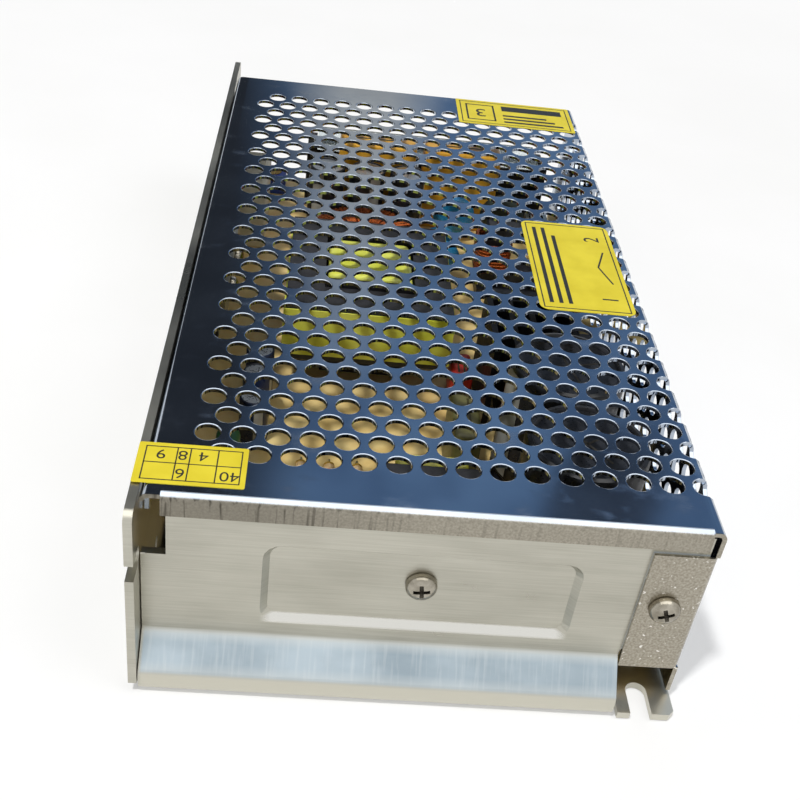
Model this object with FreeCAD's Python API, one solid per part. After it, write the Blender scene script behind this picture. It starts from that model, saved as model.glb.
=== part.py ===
import FreeCAD, Part
import math
import os

# Enclosed switching power supply for lamp strips, in millimetres
# Origin at the middle of the underside. +Z up, terminals towards +Y, blank end towards -Y

# Case
case_length = 199.0
case_width = 99.0
case_height = 42.0
plan_size = min(case_width, case_length / 2)
label_sheet = 0.1
wall_drop = 0.3
chassis_sheet = 1.5
foot_reach = 4.0
chassis_fold = 0.7
cover_sheet = 0.8
cover_fold = 0.7
fold_tail = 1.0
cover_cut_back = 0.3
fit_gap = 0.2
seat_gap = 0.1

# Blank end wall of the chassis
band_height = 4.6
joggle_depth = 5.8
end_left_gap = 1.8
end_upper_left = 5.9
end_notch_z = case_height * 0.6762
end_foot_right = 37.8
end_notch_right_z = 13.1
corner_round = 2.0
press_width = 55.0
press_low_z = 13.6
press_high_z = case_height * 0.7619
press_depth = 1.2
press_round = 3.2
round_steps = 4
relief_width = 1.0
tab_chamfer = 1.0

# Cover
cover_near_inset = 5.0
cover_far_inset = 13.5
lip_height = 4.2
lip_left_inset = 5.1
lip_right_inset = 2.3
flap_width = 11.4
flap_low_z = 8.5
flap_high_z = case_height * 0.8667
hem_depth = case_height * 0.1786
hem_end_inset = 6.0
cover_foot_z = 2.2

# Vent field, one hole for four of the real 4.5 mm holes at 6 mm pitch
vent_pitch = 12.0
vent_across = 8.4
vent_near_margin = 14.5
vent_far_margin = 13.0
vent_left_margin = 12.4
vent_right_margin = 6.6
side_vent_top_margin = 8.6
side_vent_low_z = 14.0

# Mounting slots and tapped holes
slot_width = 4.0
slot_depth = 7.2
slot_edge_inset = 6.3
wall_slot_width = 3.5
wall_slot_depth = 6.0
wall_slot_z = case_height * 0.6905
base_hole_r = 2.0
base_hole_space_x = 60.0
base_hole_space_y = 120.0
wall_hole_r = 1.5
wall_hole_z = 12.5
wall_hole_space = 150.0

# Ears that take the cover's two side screws
ear_width = 12.0
ear_height = 10.0
ear_space = 100.0
ear_reach = 4.0
ear_screw_z = 6.0
tap_r = 1.25
screw_clearance = 0.4
flat_head_r = 2.7
pan_head_r = 2.8
pan_head_height = 2.1
cross_width = 0.8
cross_length = 3.2
cross_depth = 1.1
head_sides = 12
shank_sides = 8
can_sides = 24
flap_screw_z = case_height * 0.5714
flap_screw_inset = 6.7
flap_screw_length = 6.0
side_screw_length = 4.0

# Board on its pillars
board_sheet = 1.6
board_z = 5.0
board_gap = 1.0
board_near_inset = 8.3
board_far_inset = 1.6
film_sheet = 0.4
film_inset = 5.0
pillar_across = 5.0
pillar_inset = 5.5
board_screw_length = 5.0
near_pillar_y = 6.0
far_pillar_y = 18.0

# Terminal strip at the open end
way_count = 7
way_pitch = case_width * 0.096
barrier_sheet = 1.8
strip_depth = 14.0
strip_floor = 7.5
strip_barrier = 15.5
strip_back = 3.6
strip_back_height = 16.5
strip_end_sheet = 2.6
strip_right_gap = 3.0
plate_sheet = 0.8
plate_depth = 8.0
terminal_screw_r = 1.6
terminal_head_r = 3.0
terminal_head_height = 1.8
terminal_screw_length = 6.0
lid_sheet = 1.0
lid_pin_r = 0.9
lid_pin_length = 1.4
lid_knuckle_r = 1.5
run_gap = 0.08

# Input voltage selector
selector_y = case_length * 0.4648
selector_length = 20.0
selector_depth = 8.5
selector_height = 11.0
selector_wall = 1.2
knob_length = 5.0
knob_height = 4.0
knob_recess = 0.4
selector_travel = 5.0
carrier_sheet = 1.5
carrier_rim = 1.5
window_margin = 0.6

# Output voltage trimmer and lamp
trimmer_size = 8.0
trimmer_height = 5.5
rotor_r = 2.6
rotor_depth = 2.0
rotor_slot_width = 0.7
trimmer_inset_x = case_width * 0.1313
trimmer_inset_y = 8.5
lamp_r = 1.5
lamp_height = 4.5
lamp_foot = 3.0
lamp_inset_x = case_width * 0.0556
lead_width = 0.6

# Big parts on the board
bulk_r = plan_size * 0.1212
bulk_headroom = 3.5
bulk_inset_x = case_width * 0.1869
bulk_near_y = case_length * 0.1683
bulk_gap = 1.6
core_width = case_width * 0.3838
core_thick = 15.0
core_back = case_length * 0.0402
core_window = case_length * 0.1256
core_leg = case_width * 0.0859
core_post = case_width * 0.096
core_post_height = 9.5
core_x = case_width * -0.0909
core_low_gap = 8.5
bobbin_wall = 1.2
coil_top_rise = 1.6
coil_bevel = 1.5
strap_sheet = 0.35
strap_width = 12.0
core_far_gap = 3.5
choke_ring_r = plan_size * 0.1313
choke_hole_r = plan_size * 0.0667
choke_core_height = 9.0
wire_thick = 1.4
turn_count = 12
turn_gap = 1.2
choke_ring_gap = 2.0
out_cap_r = plan_size * 0.0505
out_cap_height = 20.0
out_cap_count = 3
out_cap_gap = 1.4
x_cap_length = case_width * 0.2222
x_cap_depth = case_length * 0.0432
x_cap_height = 24.0
x_cap_gap = 2.6
x_cap_x = case_width * 0.0606
box_bevel = 0.6
driver_width = case_width * 0.1919
driver_depth = case_length * 0.0804
driver_height = 14.0
driver_leg = 4.2
driver_x = case_width * 0.0404
driver_y = case_length * 0.1859
driver_foot = 2.0
coil_gap = 0.3

# Mains side parts
frame_width = case_width * 0.2121
frame_height = 18.0
frame_thick = 6.0
frame_bar = 4.5
frame_coil = 2.6
frame_foot = 3.0
frame_inset_x = case_width * 0.1616
frame_far_y = case_length * 0.3015
disc_r = plan_size * 0.0525
disc_thick = 4.0
disc_foot = 2.2
disc_space = case_length * 0.0402
disc_x = case_width * 0.1212
disc_far_y = case_length * 0.2513
varistor_r = plan_size * 0.0606
varistor_x = case_width * 0.1717
varistor_gap = 4.7
thermistor_r = plan_size * 0.0657
thermistor_x = case_width * 0.3131
thermistor_gap = 3.7
fuse_r = 2.6
fuse_length = case_length * 0.1005
fuse_cap_length = 5.0
fuse_z = 5.0
fuse_inset_x = case_width * 0.0707
fuse_gap = 1.6
clip_sheet = 0.5
clip_width = 4.0

# Cooled parts
sink_inset_x = case_width * 0.2172
sink_width = case_width * 0.202
sink_length = case_length * 0.1206
sink_height = 24.0
sink_back = 3.0
fin_sheet = 1.4
fin_count = 5
sink_gap = 1.5
bridge_width = case_width * 0.1818
bridge_height = 14.0
bridge_thick = 3.6
pack_width = 10.4
pack_height = case_height * 0.3571
pack_thick = 4.5
pack_foot = case_height * 0.2143
leg_width = 1.0
leg_thick = 0.6
leg_step = 2.54
pad_sheet = 0.3
bar_sheet = 1.5
bar_height = 8.0
bar_over = 3.0
end_pack_space = 22.0
bar_screw_tail = 1.5
wall_pack_near = case_length * 0.4724
wall_pack_step = 14.0
wall_pack_count = 3

# Small parts
cement_width = case_width * 0.0909
cement_length = case_length * 0.1156
cement_height = 19.0
cement_inset_x = case_width * 0.0859
cement_gap = 3.1
chip_length = 19.3
chip_width = 6.4
chip_height = 3.4
chip_foot = 0.6
chip_x = case_width * -0.2424
chip_y = case_length * 0.206
small_cap_r = plan_size * 0.0323
small_cap_height = 11.5
small_cap_x = case_width * -0.3333
small_cap_y = case_length * 0.3317
small_cap_step = case_length * 0.0452
small_cap_count = 3
red_cap_length = case_length * 0.0503
red_cap_depth = case_width * 0.0505
red_cap_height = 9.0
red_cap_x = case_width * 0.1414
red_cap_y = case_length * 0.4422
green_cap_length = case_length * 0.0452
green_cap_depth = case_width * 0.0505
green_cap_height = 10.0
green_cap_x = case_width * -0.3788
green_cap_y = case_length * 0.2613
snub_cap_length = case_length * 0.0854
snub_cap_depth = case_width * 0.0606
snub_cap_height = 16.0
snub_cap_x = case_width * 0.1212
snub_cap_y = case_length * 0.3015
resistor_r = 1.2
resistor_length = 6.5
resistor_lead = 2.2
resistor_z = 2.0
resistor_x = case_width * -0.2222
resistor_y = case_length * 0.2663
resistor_step = case_width * 0.0606
resistor_count = 3

# Stickers
date_label_near = 8.0
date_label_depth = 10.4
date_label_reach = 18.3
rear_label_width = 33.0
rear_label_depth = 17.0
rear_label_right = 1.6
selector_label_width = 21.0
selector_label_length = 40.0
selector_label_right = 2.6
selector_label_round = 2.0

# Places worked out from the sizes above
chassis_bend = chassis_sheet + chassis_fold
cover_bend = cover_sheet + cover_fold
left = -case_width / 2
right = case_width / 2
near = -case_length / 2
far = case_length / 2
cover_top = case_height - label_sheet
wall_top = cover_top - wall_drop
under_cover = cover_top - cover_sheet
wall_in = left + chassis_sheet
floor = chassis_sheet
end_face = near + joggle_depth
end_inner = end_face + chassis_sheet
cover_near = near + cover_near_inset
cover_far = far - cover_far_inset
cover_left = wall_in + fit_gap
side_in = right - cover_sheet
ear_out = side_in - fit_gap
ear_in = ear_out - chassis_sheet
board_top = board_z + board_sheet
board_near = near + board_near_inset
board_far = far - board_far_inset
board_left = wall_in + board_gap
board_right = side_in - board_gap / 2
press_floor = end_inner + press_depth
strip_near = board_far - strip_depth
strip_length = way_count * way_pitch + 2 * strip_end_sheet
strip_right = board_right - strip_right_gap
strip_left = strip_right - strip_length
V = FreeCAD.Vector
X_AXIS = V(1, 0, 0)
Y_AXIS = V(0, 1, 0)
Z_AXIS = V(0, 0, 1)


# Shape helpers
def block(x0, x1, y0, y1, z0, z1):
    return Part.makeBox(x1 - x0, y1 - y0, z1 - z0, V(x0, y0, z0))


def middle_block(x, y, z0, width, depth, height):
    return block(x - width / 2, x + width / 2, y - depth / 2, y + depth / 2, z0, z0 + height)


def rod(radius, length, start, axis=Z_AXIS):
    return Part.makeCylinder(radius, length, start, axis)


def prism(points, direction):
    wire = Part.makePolygon(points + points[:1])
    return Part.Face(wire).extrude(direction)


def ring_of_points(radius, centre, axis, sides):
    spot = (Y_AXIS if abs(axis.x) > 0.5 else X_AXIS) * radius
    turn = FreeCAD.Rotation(axis, 360 / sides)
    points = []
    for _ in range(sides):
        points.append(centre + spot)
        spot = turn.multVec(spot)
    return points


def bar(radius, length, start, axis=Z_AXIS, sides=0):
    return prism(ring_of_points(radius, start, axis, sides or shank_sides), axis * length)


def tapered(low_points, high_points):
    faces = [Part.Face(Part.makePolygon(points + points[:1])) for points in (low_points, high_points)]
    for i in range(len(low_points)):
        corners = [low_points[i - 1], low_points[i], high_points[i], high_points[i - 1]]
        faces.append(Part.Face(Part.makePolygon(corners + corners[:1])))
    solid = Part.Solid(Part.Shell(faces))
    if solid.Volume < 0:
        solid.reverse()
    return solid


def round_edges(shape, radius, test):
    edges = [edge for edge in shape.Edges if test(edge)]
    return shape.makeFillet(radius, edges) if edges else shape


def runs_along(edge, axis):
    if len(edge.Vertexes) != 2:
        return False
    step = edge.Vertexes[1].Point - edge.Vertexes[0].Point
    return abs(abs(step.normalize().dot(axis)) - 1) < 1e-6


def at_point(edge, x=None, y=None, z=None):
    centre = edge.CenterOfMass
    wanted = ((centre.x, x), (centre.y, y), (centre.z, z))
    return all(value is None or abs(have - value) < 1e-4 for have, value in wanted)


def bevel_along(shape, axis, size):
    return shape.makeChamfer(size, [edge for edge in shape.Edges if runs_along(edge, axis)])


def round_along(shape, axis, radius, **place):
    return round_edges(shape, radius, lambda edge: runs_along(edge, axis) and at_point(edge, **place))


def join(first, *others):
    return first.fuse(list(others)).removeSplitter()


def group(shapes):
    return Part.makeCompound(shapes)


def save(name, shape):
    shape.exportStep(os.path.join("parts", name + ".step"))


# Screws, their heads on the plus side of the axis
def recess_arm(face, axis, across):
    beside = across.cross(axis)
    corner = face - across * (cross_length / 2) - beside * (cross_width / 2)
    outline = [corner, corner + across * cross_length,
               corner + across * cross_length + beside * cross_width, corner + beside * cross_width]
    return prism(outline, axis * -cross_depth)


def pan_screw(seat, axis, length):
    return join(bar(pan_head_r, pan_head_height, seat, axis, head_sides), bar(tap_r, length, seat, axis * -1))


def crossed_screw(seat, axis, side, length):
    top = seat + axis * pan_head_height
    screw = pan_screw(seat, axis, length)
    return screw.cut(recess_arm(top, axis, side)).cut(recess_arm(top, axis, side.cross(axis)))


def sunk_head(face, axis, wider):
    depth = flat_head_r - tap_r
    return tapered(ring_of_points(tap_r + wider, face - axis * depth, axis, head_sides),
                   ring_of_points(flat_head_r + wider, face, axis, head_sides))


def flat_screw(face, axis, length):
    depth = flat_head_r - tap_r
    return join(sunk_head(face, axis, 0), bar(tap_r, length - depth, face - axis * depth, axis * -1, head_sides))


# Chassis: base, tall left wall and joggled end wall, folded from one sheet
def chassis_base_and_wall():
    outline = [V(left, near, 0), V(left, near, wall_top), V(wall_in, near, wall_top),
               V(wall_in, near, floor), V(right, near, floor), V(right, near, 0)]
    folded = prism(outline, V(0, case_length, 0))
    folded = round_along(folded, Y_AXIS, chassis_bend, x=left, z=0)
    folded = round_along(folded, Y_AXIS, chassis_fold, x=wall_in, z=floor)
    folded = round_along(folded, X_AXIS, corner_round, y=near, z=wall_top)
    return round_along(folded, X_AXIS, corner_round, y=far, z=wall_top)


def end_wall_profile(x0, x1):
    slant = joggle_depth
    shift = chassis_sheet * math.tan(math.pi / 8)
    joggle_top = band_height + slant
    inner_low = near + chassis_sheet
    end_top = under_cover - cover_fold - seat_gap
    outline = [V(x0, near, 0), V(x0, near, band_height), V(x0, end_face, joggle_top),
               V(x0, end_face, end_top), V(x0, end_inner, end_top),
               V(x0, end_inner, joggle_top - shift), V(x0, inner_low, band_height - shift),
               V(x0, inner_low, floor), V(x0, near + foot_reach, floor), V(x0, near + foot_reach, 0)]
    folded = prism(outline, V(x1 - x0, 0, 0))
    folded = round_along(folded, X_AXIS, chassis_bend, y=near, z=band_height)
    folded = round_along(folded, X_AXIS, chassis_bend, y=near, z=0)
    return round_along(folded, X_AXIS, chassis_fold, y=end_face, z=joggle_top)


def pressed_outline(inset, y):
    reach = press_width / 2 - press_round
    radius = press_round - inset
    points = []
    for index, (x, z) in enumerate(((reach, press_high_z - press_round), (-reach, press_high_z - press_round),
                                    (-reach, press_low_z + press_round), (reach, press_low_z + press_round))):
        for step in range(round_steps + 1):
            turn = math.pi / 2 * (index + step / round_steps)
            points.append(V(x + radius * math.cos(turn), y, z + radius * math.sin(turn)))
    return points


def pressed_step(y):
    return tapered(pressed_outline(0, y), pressed_outline(press_depth, y + press_depth))


def chassis_end_wall():
    x0 = wall_in + fit_gap
    x1 = side_in - cover_fold - seat_gap
    wall = end_wall_profile(x0, x1)
    top = case_height
    upper_left = block(x0 - 1, left + end_upper_left, near - 1, end_inner + 1, end_notch_z, top)
    wall = wall.cut(upper_left)
    lower_right = block(end_foot_right, x1 + 1, near - 1, near + case_width, -1, end_notch_right_z)
    lower_right = round_along(lower_right, Y_AXIS, corner_round, x=end_foot_right, z=end_notch_right_z)
    wall = wall.cut(lower_right)
    wall = wall.fuse(pressed_step(end_inner)).cut(pressed_step(end_face))
    screw_hole = bar(tap_r + screw_clearance, joggle_depth, V(0, end_face - 1, flap_screw_z), Y_AXIS)
    flap_hole = bar(tap_r, joggle_depth, V(right - flap_screw_inset, end_face - 1, flap_screw_z), Y_AXIS)
    return wall.cut(screw_hole).cut(flap_hole)


def open_slot(x, width, depth, edge, inward):
    centre = edge + inward * (depth - width / 2)
    ends = sorted((centre, edge - inward))
    return rod(width / 2, 4, V(x, centre, -1)).fuse(block(x - width / 2, x + width / 2, ends[0], ends[1], -1, 3))


def wall_slot(edge, inward):
    centre = edge + inward * (wall_slot_depth - wall_slot_width / 2)
    ends = sorted((centre, edge - inward))
    half = wall_slot_width / 2
    start = left - 1
    slit = block(start, wall_in + 1, ends[0], ends[1], wall_slot_z - half, wall_slot_z + half)
    return rod(half, chassis_sheet + 2, V(start, centre, wall_slot_z), X_AXIS).fuse(slit)


def ear(y):
    half = ear_width / 2
    outline = [V(right - ear_reach - chassis_bend, y - half, 0), V(ear_out, y - half, 0),
               V(ear_out, y - half, ear_height), V(ear_in, y - half, ear_height),
               V(ear_in, y - half, floor), V(right - ear_reach - chassis_bend, y - half, floor)]
    plate = prism(outline, V(0, ear_width, 0))
    plate = round_along(plate, Y_AXIS, chassis_bend, x=ear_out, z=0)
    plate = round_along(plate, Y_AXIS, chassis_fold, x=ear_in, z=floor)
    hole = bar(tap_r, chassis_sheet + 2, V(ear_in - 1, y, ear_screw_z), X_AXIS, head_sides)
    return plate.cut(hole).cut(sunk_head(V(right, y, ear_screw_z), X_AXIS, fit_gap))


def ear_gap(y):
    half = ear_width / 2 + relief_width
    return block(right - ear_reach, right + 1, y - half, y + half, -1, floor + 1)


def tab_corner(y, inward):
    outline = [V(right - tab_chamfer, y, -1), V(right + 1, y, -1), V(right + 1, y + inward * tab_chamfer, -1),
               V(right, y + inward * tab_chamfer, -1)]
    return prism(outline, V(0, 0, floor + 2))


def chassis():
    shape = chassis_base_and_wall()
    foot_gap = block(wall_in, end_foot_right + relief_width, near - 1, near + foot_reach, -1, floor + 1)
    relief = block(left - 1, wall_in + fit_gap, near - 1, near + chassis_bend, -1, chassis_bend)
    shape = shape.cut(foot_gap).cut(relief).cut(ear_gap(-ear_space / 2)).cut(ear_gap(ear_space / 2))
    shape = shape.fuse(chassis_end_wall())
    shape = shape.fuse([ear(-ear_space / 2), ear(ear_space / 2)])
    cuts = [open_slot(right - slot_edge_inset, slot_width, slot_depth, near, 1),
            open_slot(right - slot_edge_inset, slot_width, slot_depth, far, -1),
            open_slot(left + slot_edge_inset * 2, slot_width, slot_depth, far, -1),
            tab_corner(near, 1),
            tab_corner(far, -1),
            wall_slot(near, 1),
            wall_slot(far, -1)]
    for x in (-base_hole_space_x / 2, base_hole_space_x / 2):
        for y in (-base_hole_space_y / 2, base_hole_space_y / 2):
            cuts.append(rod(base_hole_r, 4, V(x, y, -1)))
    for y in (-wall_hole_space / 2, wall_hole_space / 2):
        cuts.append(rod(wall_hole_r, 4, V(left - 1, y, wall_hole_z), X_AXIS))
    for y in wall_bar_screw_places():
        cuts.append(bar(tap_r, 4, V(left - 1, y, wall_bar_z()), X_AXIS))
    return shape.cut(group(cuts)).removeSplitter()


# Cover: top, perforated side wall, inner hem, end lip and screw flap, folded from one sheet
def cover_wrap():
    hem_low = under_cover - hem_depth
    hem_in = cover_left + cover_sheet
    start = cover_near + cover_cut_back
    outline = [V(cover_left, start, hem_low), V(cover_left, start, cover_top), V(right, start, cover_top),
               V(right, start, cover_foot_z), V(side_in, start, cover_foot_z), V(side_in, start, under_cover),
               V(hem_in, start, under_cover), V(hem_in, start, hem_low)]
    wrap = prism(outline, V(0, cover_far - start, 0))
    for x, radius in ((cover_left, cover_bend), (right, cover_bend)):
        wrap = round_along(wrap, Y_AXIS, radius, x=x, z=cover_top)
    for x in (hem_in, side_in):
        wrap = round_along(wrap, Y_AXIS, cover_fold, x=x, z=under_cover)
    return wrap


def hem_trims():
    low = under_cover - hem_depth - 1
    high = under_cover - cover_bend
    near_trim = block(cover_left - 1, cover_left + 2, cover_near, cover_near + hem_end_inset, low, high)
    far_trim = block(cover_left - 1, cover_left + 2, cover_far - hem_end_inset, cover_far + 1, low, high)
    return [near_trim, far_trim]


def cover_lip():
    x0 = left + lip_left_inset
    x1 = right - lip_right_inset
    low = cover_top - lip_height
    back = cover_near + cover_bend + fold_tail
    inner = cover_near + cover_sheet
    outline = [V(x0, cover_near, low), V(x0, cover_near, cover_top), V(x0, back, cover_top),
               V(x0, back, under_cover), V(x0, inner, under_cover), V(x0, inner, low)]
    lip = prism(outline, V(x1 - x0, 0, 0))
    lip = round_along(lip, X_AXIS, cover_bend, y=cover_near, z=cover_top)
    return round_along(lip, X_AXIS, cover_fold, y=inner, z=under_cover)


def cover_flap():
    x0 = right - flap_width
    back = cover_near + cover_bend + fold_tail
    inner = cover_near + cover_sheet
    outline = [V(x0, cover_near, flap_low_z), V(right, cover_near, flap_low_z), V(right, back, flap_low_z),
               V(side_in, back, flap_low_z), V(side_in, inner, flap_low_z), V(x0, inner, flap_low_z)]
    flap = prism(outline, V(0, 0, flap_high_z - flap_low_z))
    flap = round_along(flap, Z_AXIS, cover_bend, x=right, y=cover_near)
    flap = round_along(flap, Z_AXIS, cover_fold, x=side_in, y=inner)
    hole_start = V(right - flap_screw_inset, cover_near - 1, flap_screw_z)
    return flap.cut(bar(tap_r + screw_clearance, cover_sheet + 2, hole_start, Y_AXIS))


def six_sided(centre, axis, side):
    spot = side * (vent_across / 2 / math.cos(math.pi / 6))
    turn = FreeCAD.Rotation(axis, 60)
    points = []
    for _ in range(6):
        points.append(centre + spot)
        spot = turn.multVec(spot)
    return prism(points, axis * (cover_sheet + 2))


def grid(start, end, margin_start, margin_end, step):
    length = end - start - margin_start - margin_end
    count = int(length / step + 1e-6)
    spare = length - count * step
    return [start + margin_start + spare / 2 + i * step for i in range(count + 1)]


def vent_rows():
    return grid(cover_near, cover_far, vent_near_margin, vent_far_margin, vent_pitch * math.sqrt(3) / 2)


def top_vents():
    holes = []
    for row, y in enumerate(vent_rows()):
        shift = vent_pitch / 4 if row % 2 else -vent_pitch / 4
        for x in grid(left, right, vent_left_margin, vent_right_margin, vent_pitch):
            holes.append(six_sided(V(x + shift, y, under_cover - 1), Z_AXIS, Y_AXIS))
    return holes


def side_vents():
    holes = []
    window_y = near + selector_y
    clear = (selector_length + vent_across) / 2
    for row, y in enumerate(vent_rows()):
        shift = vent_pitch / 4 if row % 2 else -vent_pitch / 4
        for z in grid(side_vent_low_z, cover_top, 0, side_vent_top_margin, vent_pitch):
            blocked = abs(y - window_y) < clear and z + shift < board_top + selector_height + vent_across
            if not blocked:
                holes.append(six_sided(V(side_in - 1, y, z + shift), X_AXIS, Y_AXIS))
    return holes


def selector_window():
    middle = near + selector_y
    half = (knob_length + selector_travel) / 2 + window_margin
    high = selector_axis_z() + knob_height / 2 + window_margin
    low = selector_axis_z() - knob_height / 2 - window_margin
    return block(side_in - 1, right + 1, middle - half, middle + half, low, high)


def folded_tab_places():
    back = cover_near + cover_bend + fold_tail
    lip = block(left + lip_left_inset, right - lip_right_inset, cover_near, back, under_cover - 1, case_height)
    flap = block(right - flap_width, right + 1, cover_near, back, flap_low_z, flap_high_z)
    return [lip, flap]


def cover():
    shape = cover_wrap().cut(group(hem_trims())).cut(group(folded_tab_places()))
    shape = shape.fuse([cover_lip(), cover_flap()])
    cuts = top_vents() + side_vents() + [selector_window()]
    for y in (-ear_space / 2, ear_space / 2):
        cuts.append(sunk_head(V(right, y, ear_screw_z), X_AXIS, fit_gap))
    return shape.cut(group(cuts)).removeSplitter()


# Screws of the case
def flap_screw():
    seat = V(right - flap_screw_inset, cover_near, flap_screw_z)
    return crossed_screw(seat, Y_AXIS * -1, X_AXIS, flap_screw_length)


def side_screws():
    return group([flat_screw(V(right, y, ear_screw_z), X_AXIS, side_screw_length)
                  for y in (-ear_space / 2, ear_space / 2)])


# Board, its pillars, its screws and the film under it
def pillar_places():
    x0 = board_left + pillar_inset
    x1 = board_right - pillar_inset
    y0 = board_near + near_pillar_y
    y1 = board_far - far_pillar_y
    return [(x0, y0), (x1, y0), (x0, y1), (x1, y1)]


def board():
    shape = block(board_left, board_right, board_near, board_far, board_z, board_top)
    cuts = [bar(tap_r + screw_clearance, board_sheet + 2, V(x, y, board_z - 1)) for x, y in pillar_places()]
    half = ear_width / 2 + board_gap
    notch = right - side_screw_length - board_gap / 2
    for y in (-ear_space / 2, ear_space / 2):
        cuts.append(block(notch, right, y - half, y + half, 0, case_height))
    slot_x = right - slot_edge_inset
    half = slot_width
    cuts.append(block(slot_x - half, slot_x + half, board_far - slot_depth, far, 0, case_height))
    return shape.cut(group(cuts))


def board_pillars():
    corner_r = pillar_across / 2 / math.cos(math.pi / 6)
    return group([bar(corner_r, board_z - floor, V(x, y, floor), sides=6).cut(bar(tap_r, case_height, V(x, y, 0)))
                  for x, y in pillar_places()])


def board_screws():
    return [pan_screw(V(x, y, board_top), Z_AXIS, board_screw_length) for x, y in pillar_places()]


def film():
    side = pillar_inset + pillar_across
    return block(board_left + side, board_right - side, board_near + film_inset, strip_near, floor,
                 floor + film_sheet)


# Terminal strip with its plates, screws and clear lid
def way_places():
    first = strip_left + strip_end_sheet + way_pitch / 2
    return [first + i * way_pitch for i in range(way_count)]


def lid_axis_y():
    return strip_near + lid_knuckle_r


def lid_axis_z():
    return board_top + strip_back_height + lid_knuckle_r * 0.4


def terminal_block():
    base = board_top
    shape = block(strip_left, strip_right, strip_near, board_far, base, base + strip_floor)
    back = block(strip_left + strip_end_sheet, strip_right - strip_end_sheet, strip_near + 2 * lid_knuckle_r,
                 strip_near + 2 * lid_knuckle_r + strip_back - 1, base, base + strip_barrier)
    parts = [back]
    for x in (strip_left, strip_right - strip_end_sheet):
        cheek = block(x, x + strip_end_sheet, strip_near, board_far, base, base + strip_barrier)
        knuckle = rod(lid_knuckle_r + barrier_sheet / 2, strip_end_sheet,
                      V(x, lid_axis_y() + barrier_sheet / 2, lid_axis_z()), X_AXIS)
        foot = block(x, x + strip_end_sheet, lid_axis_y() - lid_knuckle_r,
                     lid_axis_y() + lid_knuckle_r + barrier_sheet, base, lid_axis_z())
        parts += [cheek, knuckle, foot]
    for i in range(1, way_count):
        x = strip_left + strip_end_sheet + i * way_pitch
        parts.append(block(x - barrier_sheet / 2, x + barrier_sheet / 2, strip_near + 2 * lid_knuckle_r,
                           board_far, base, base + strip_barrier))
    shape = join(shape, *parts)
    cuts = [rod(lid_pin_r + run_gap, strip_length + 2, V(strip_left - 1, lid_axis_y() + barrier_sheet / 2,
                                                         lid_axis_z()), X_AXIS)]
    for x in way_places():
        low = plate_top() - terminal_screw_length - fit_gap
        cuts.append(middle_block(x, plate_middle_y(), low, pocket_width(), pocket_width(), strip_floor))
    return shape.cut(group(cuts)).removeSplitter()


def pocket_width():
    return 2 * (terminal_screw_r + seat_gap)


def plate_middle_y():
    return board_far - plate_depth / 2 - seat_gap


def plate_top():
    return board_top + strip_floor + plate_sheet


def terminal_plates():
    plates = []
    width = way_pitch - barrier_sheet - 2 * fit_gap
    for x in way_places():
        plate = middle_block(x, plate_middle_y(), board_top + strip_floor, width, plate_depth, plate_sheet)
        hole = middle_block(x, plate_middle_y(), board_top, pocket_width(), pocket_width(), strip_barrier)
        plates.append(plate.cut(hole))
    return group(plates)


def terminal_screws():
    screws = []
    for x in way_places():
        seat = V(x, plate_middle_y(), plate_top())
        head = bar(terminal_head_r, terminal_head_height, seat, sides=head_sides)
        head = head.cut(recess_arm(seat + Z_AXIS * terminal_head_height, Z_AXIS, X_AXIS))
        screws.append(join(head, bar(terminal_screw_r, terminal_screw_length, seat, Z_AXIS * -1)))
    return group(screws)


def terminal_lid():
    axis_y = lid_axis_y() + barrier_sheet / 2
    axis_z = lid_axis_z()
    x0 = strip_left + strip_end_sheet + fit_gap
    x1 = strip_right - strip_end_sheet - fit_gap
    low = board_top + strip_barrier + seat_gap
    panel = block(x0, x1, axis_y, board_far, low, low + lid_sheet)
    lip = block(x0, x1, board_far - lid_sheet, board_far, low, low + 2 * lid_sheet)
    knuckle = bar(lid_knuckle_r, x1 - x0, V(x0, axis_y, axis_z), X_AXIS, head_sides)
    web = block(x0, x1, axis_y - lid_knuckle_r * 0.6, axis_y + lid_knuckle_r * 0.6, low, axis_z)
    pins = rod(lid_pin_r, x1 - x0 + 2 * (lid_pin_length + fit_gap), V(x0 - lid_pin_length - fit_gap,
                                                                    axis_y, axis_z), X_AXIS)
    return join(panel, lip, knuckle, web, pins)


# Input voltage selector behind the side wall's window
def selector_axis_z():
    return board_top + selector_height / 2


def selector_front():
    return side_in - fit_gap * 2


def selector_body():
    front = selector_front()
    middle = near + selector_y
    shape = block(front - selector_depth, front, middle - selector_length / 2, middle + selector_length / 2,
                  board_top, board_top + selector_height)
    half = (knob_length + selector_travel) / 2 + carrier_rim + fit_gap
    z0 = selector_axis_z() - knob_height / 2 - carrier_rim / 2 - fit_gap
    z1 = selector_axis_z() + knob_height / 2 + carrier_rim / 2 + fit_gap
    hollow = block(front - selector_wall - carrier_sheet - 2 * fit_gap, front - selector_wall,
                   middle - half, middle + half, z0, z1)
    half = (knob_length + selector_travel) / 2 + fit_gap
    z0 = selector_axis_z() - knob_height / 2 - fit_gap
    z1 = selector_axis_z() + knob_height / 2 + fit_gap
    slot = block(front - selector_wall - 1, front + 1, middle - half, middle + half, z0, z1)
    return shape.cut(hollow).cut(slot)


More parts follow.
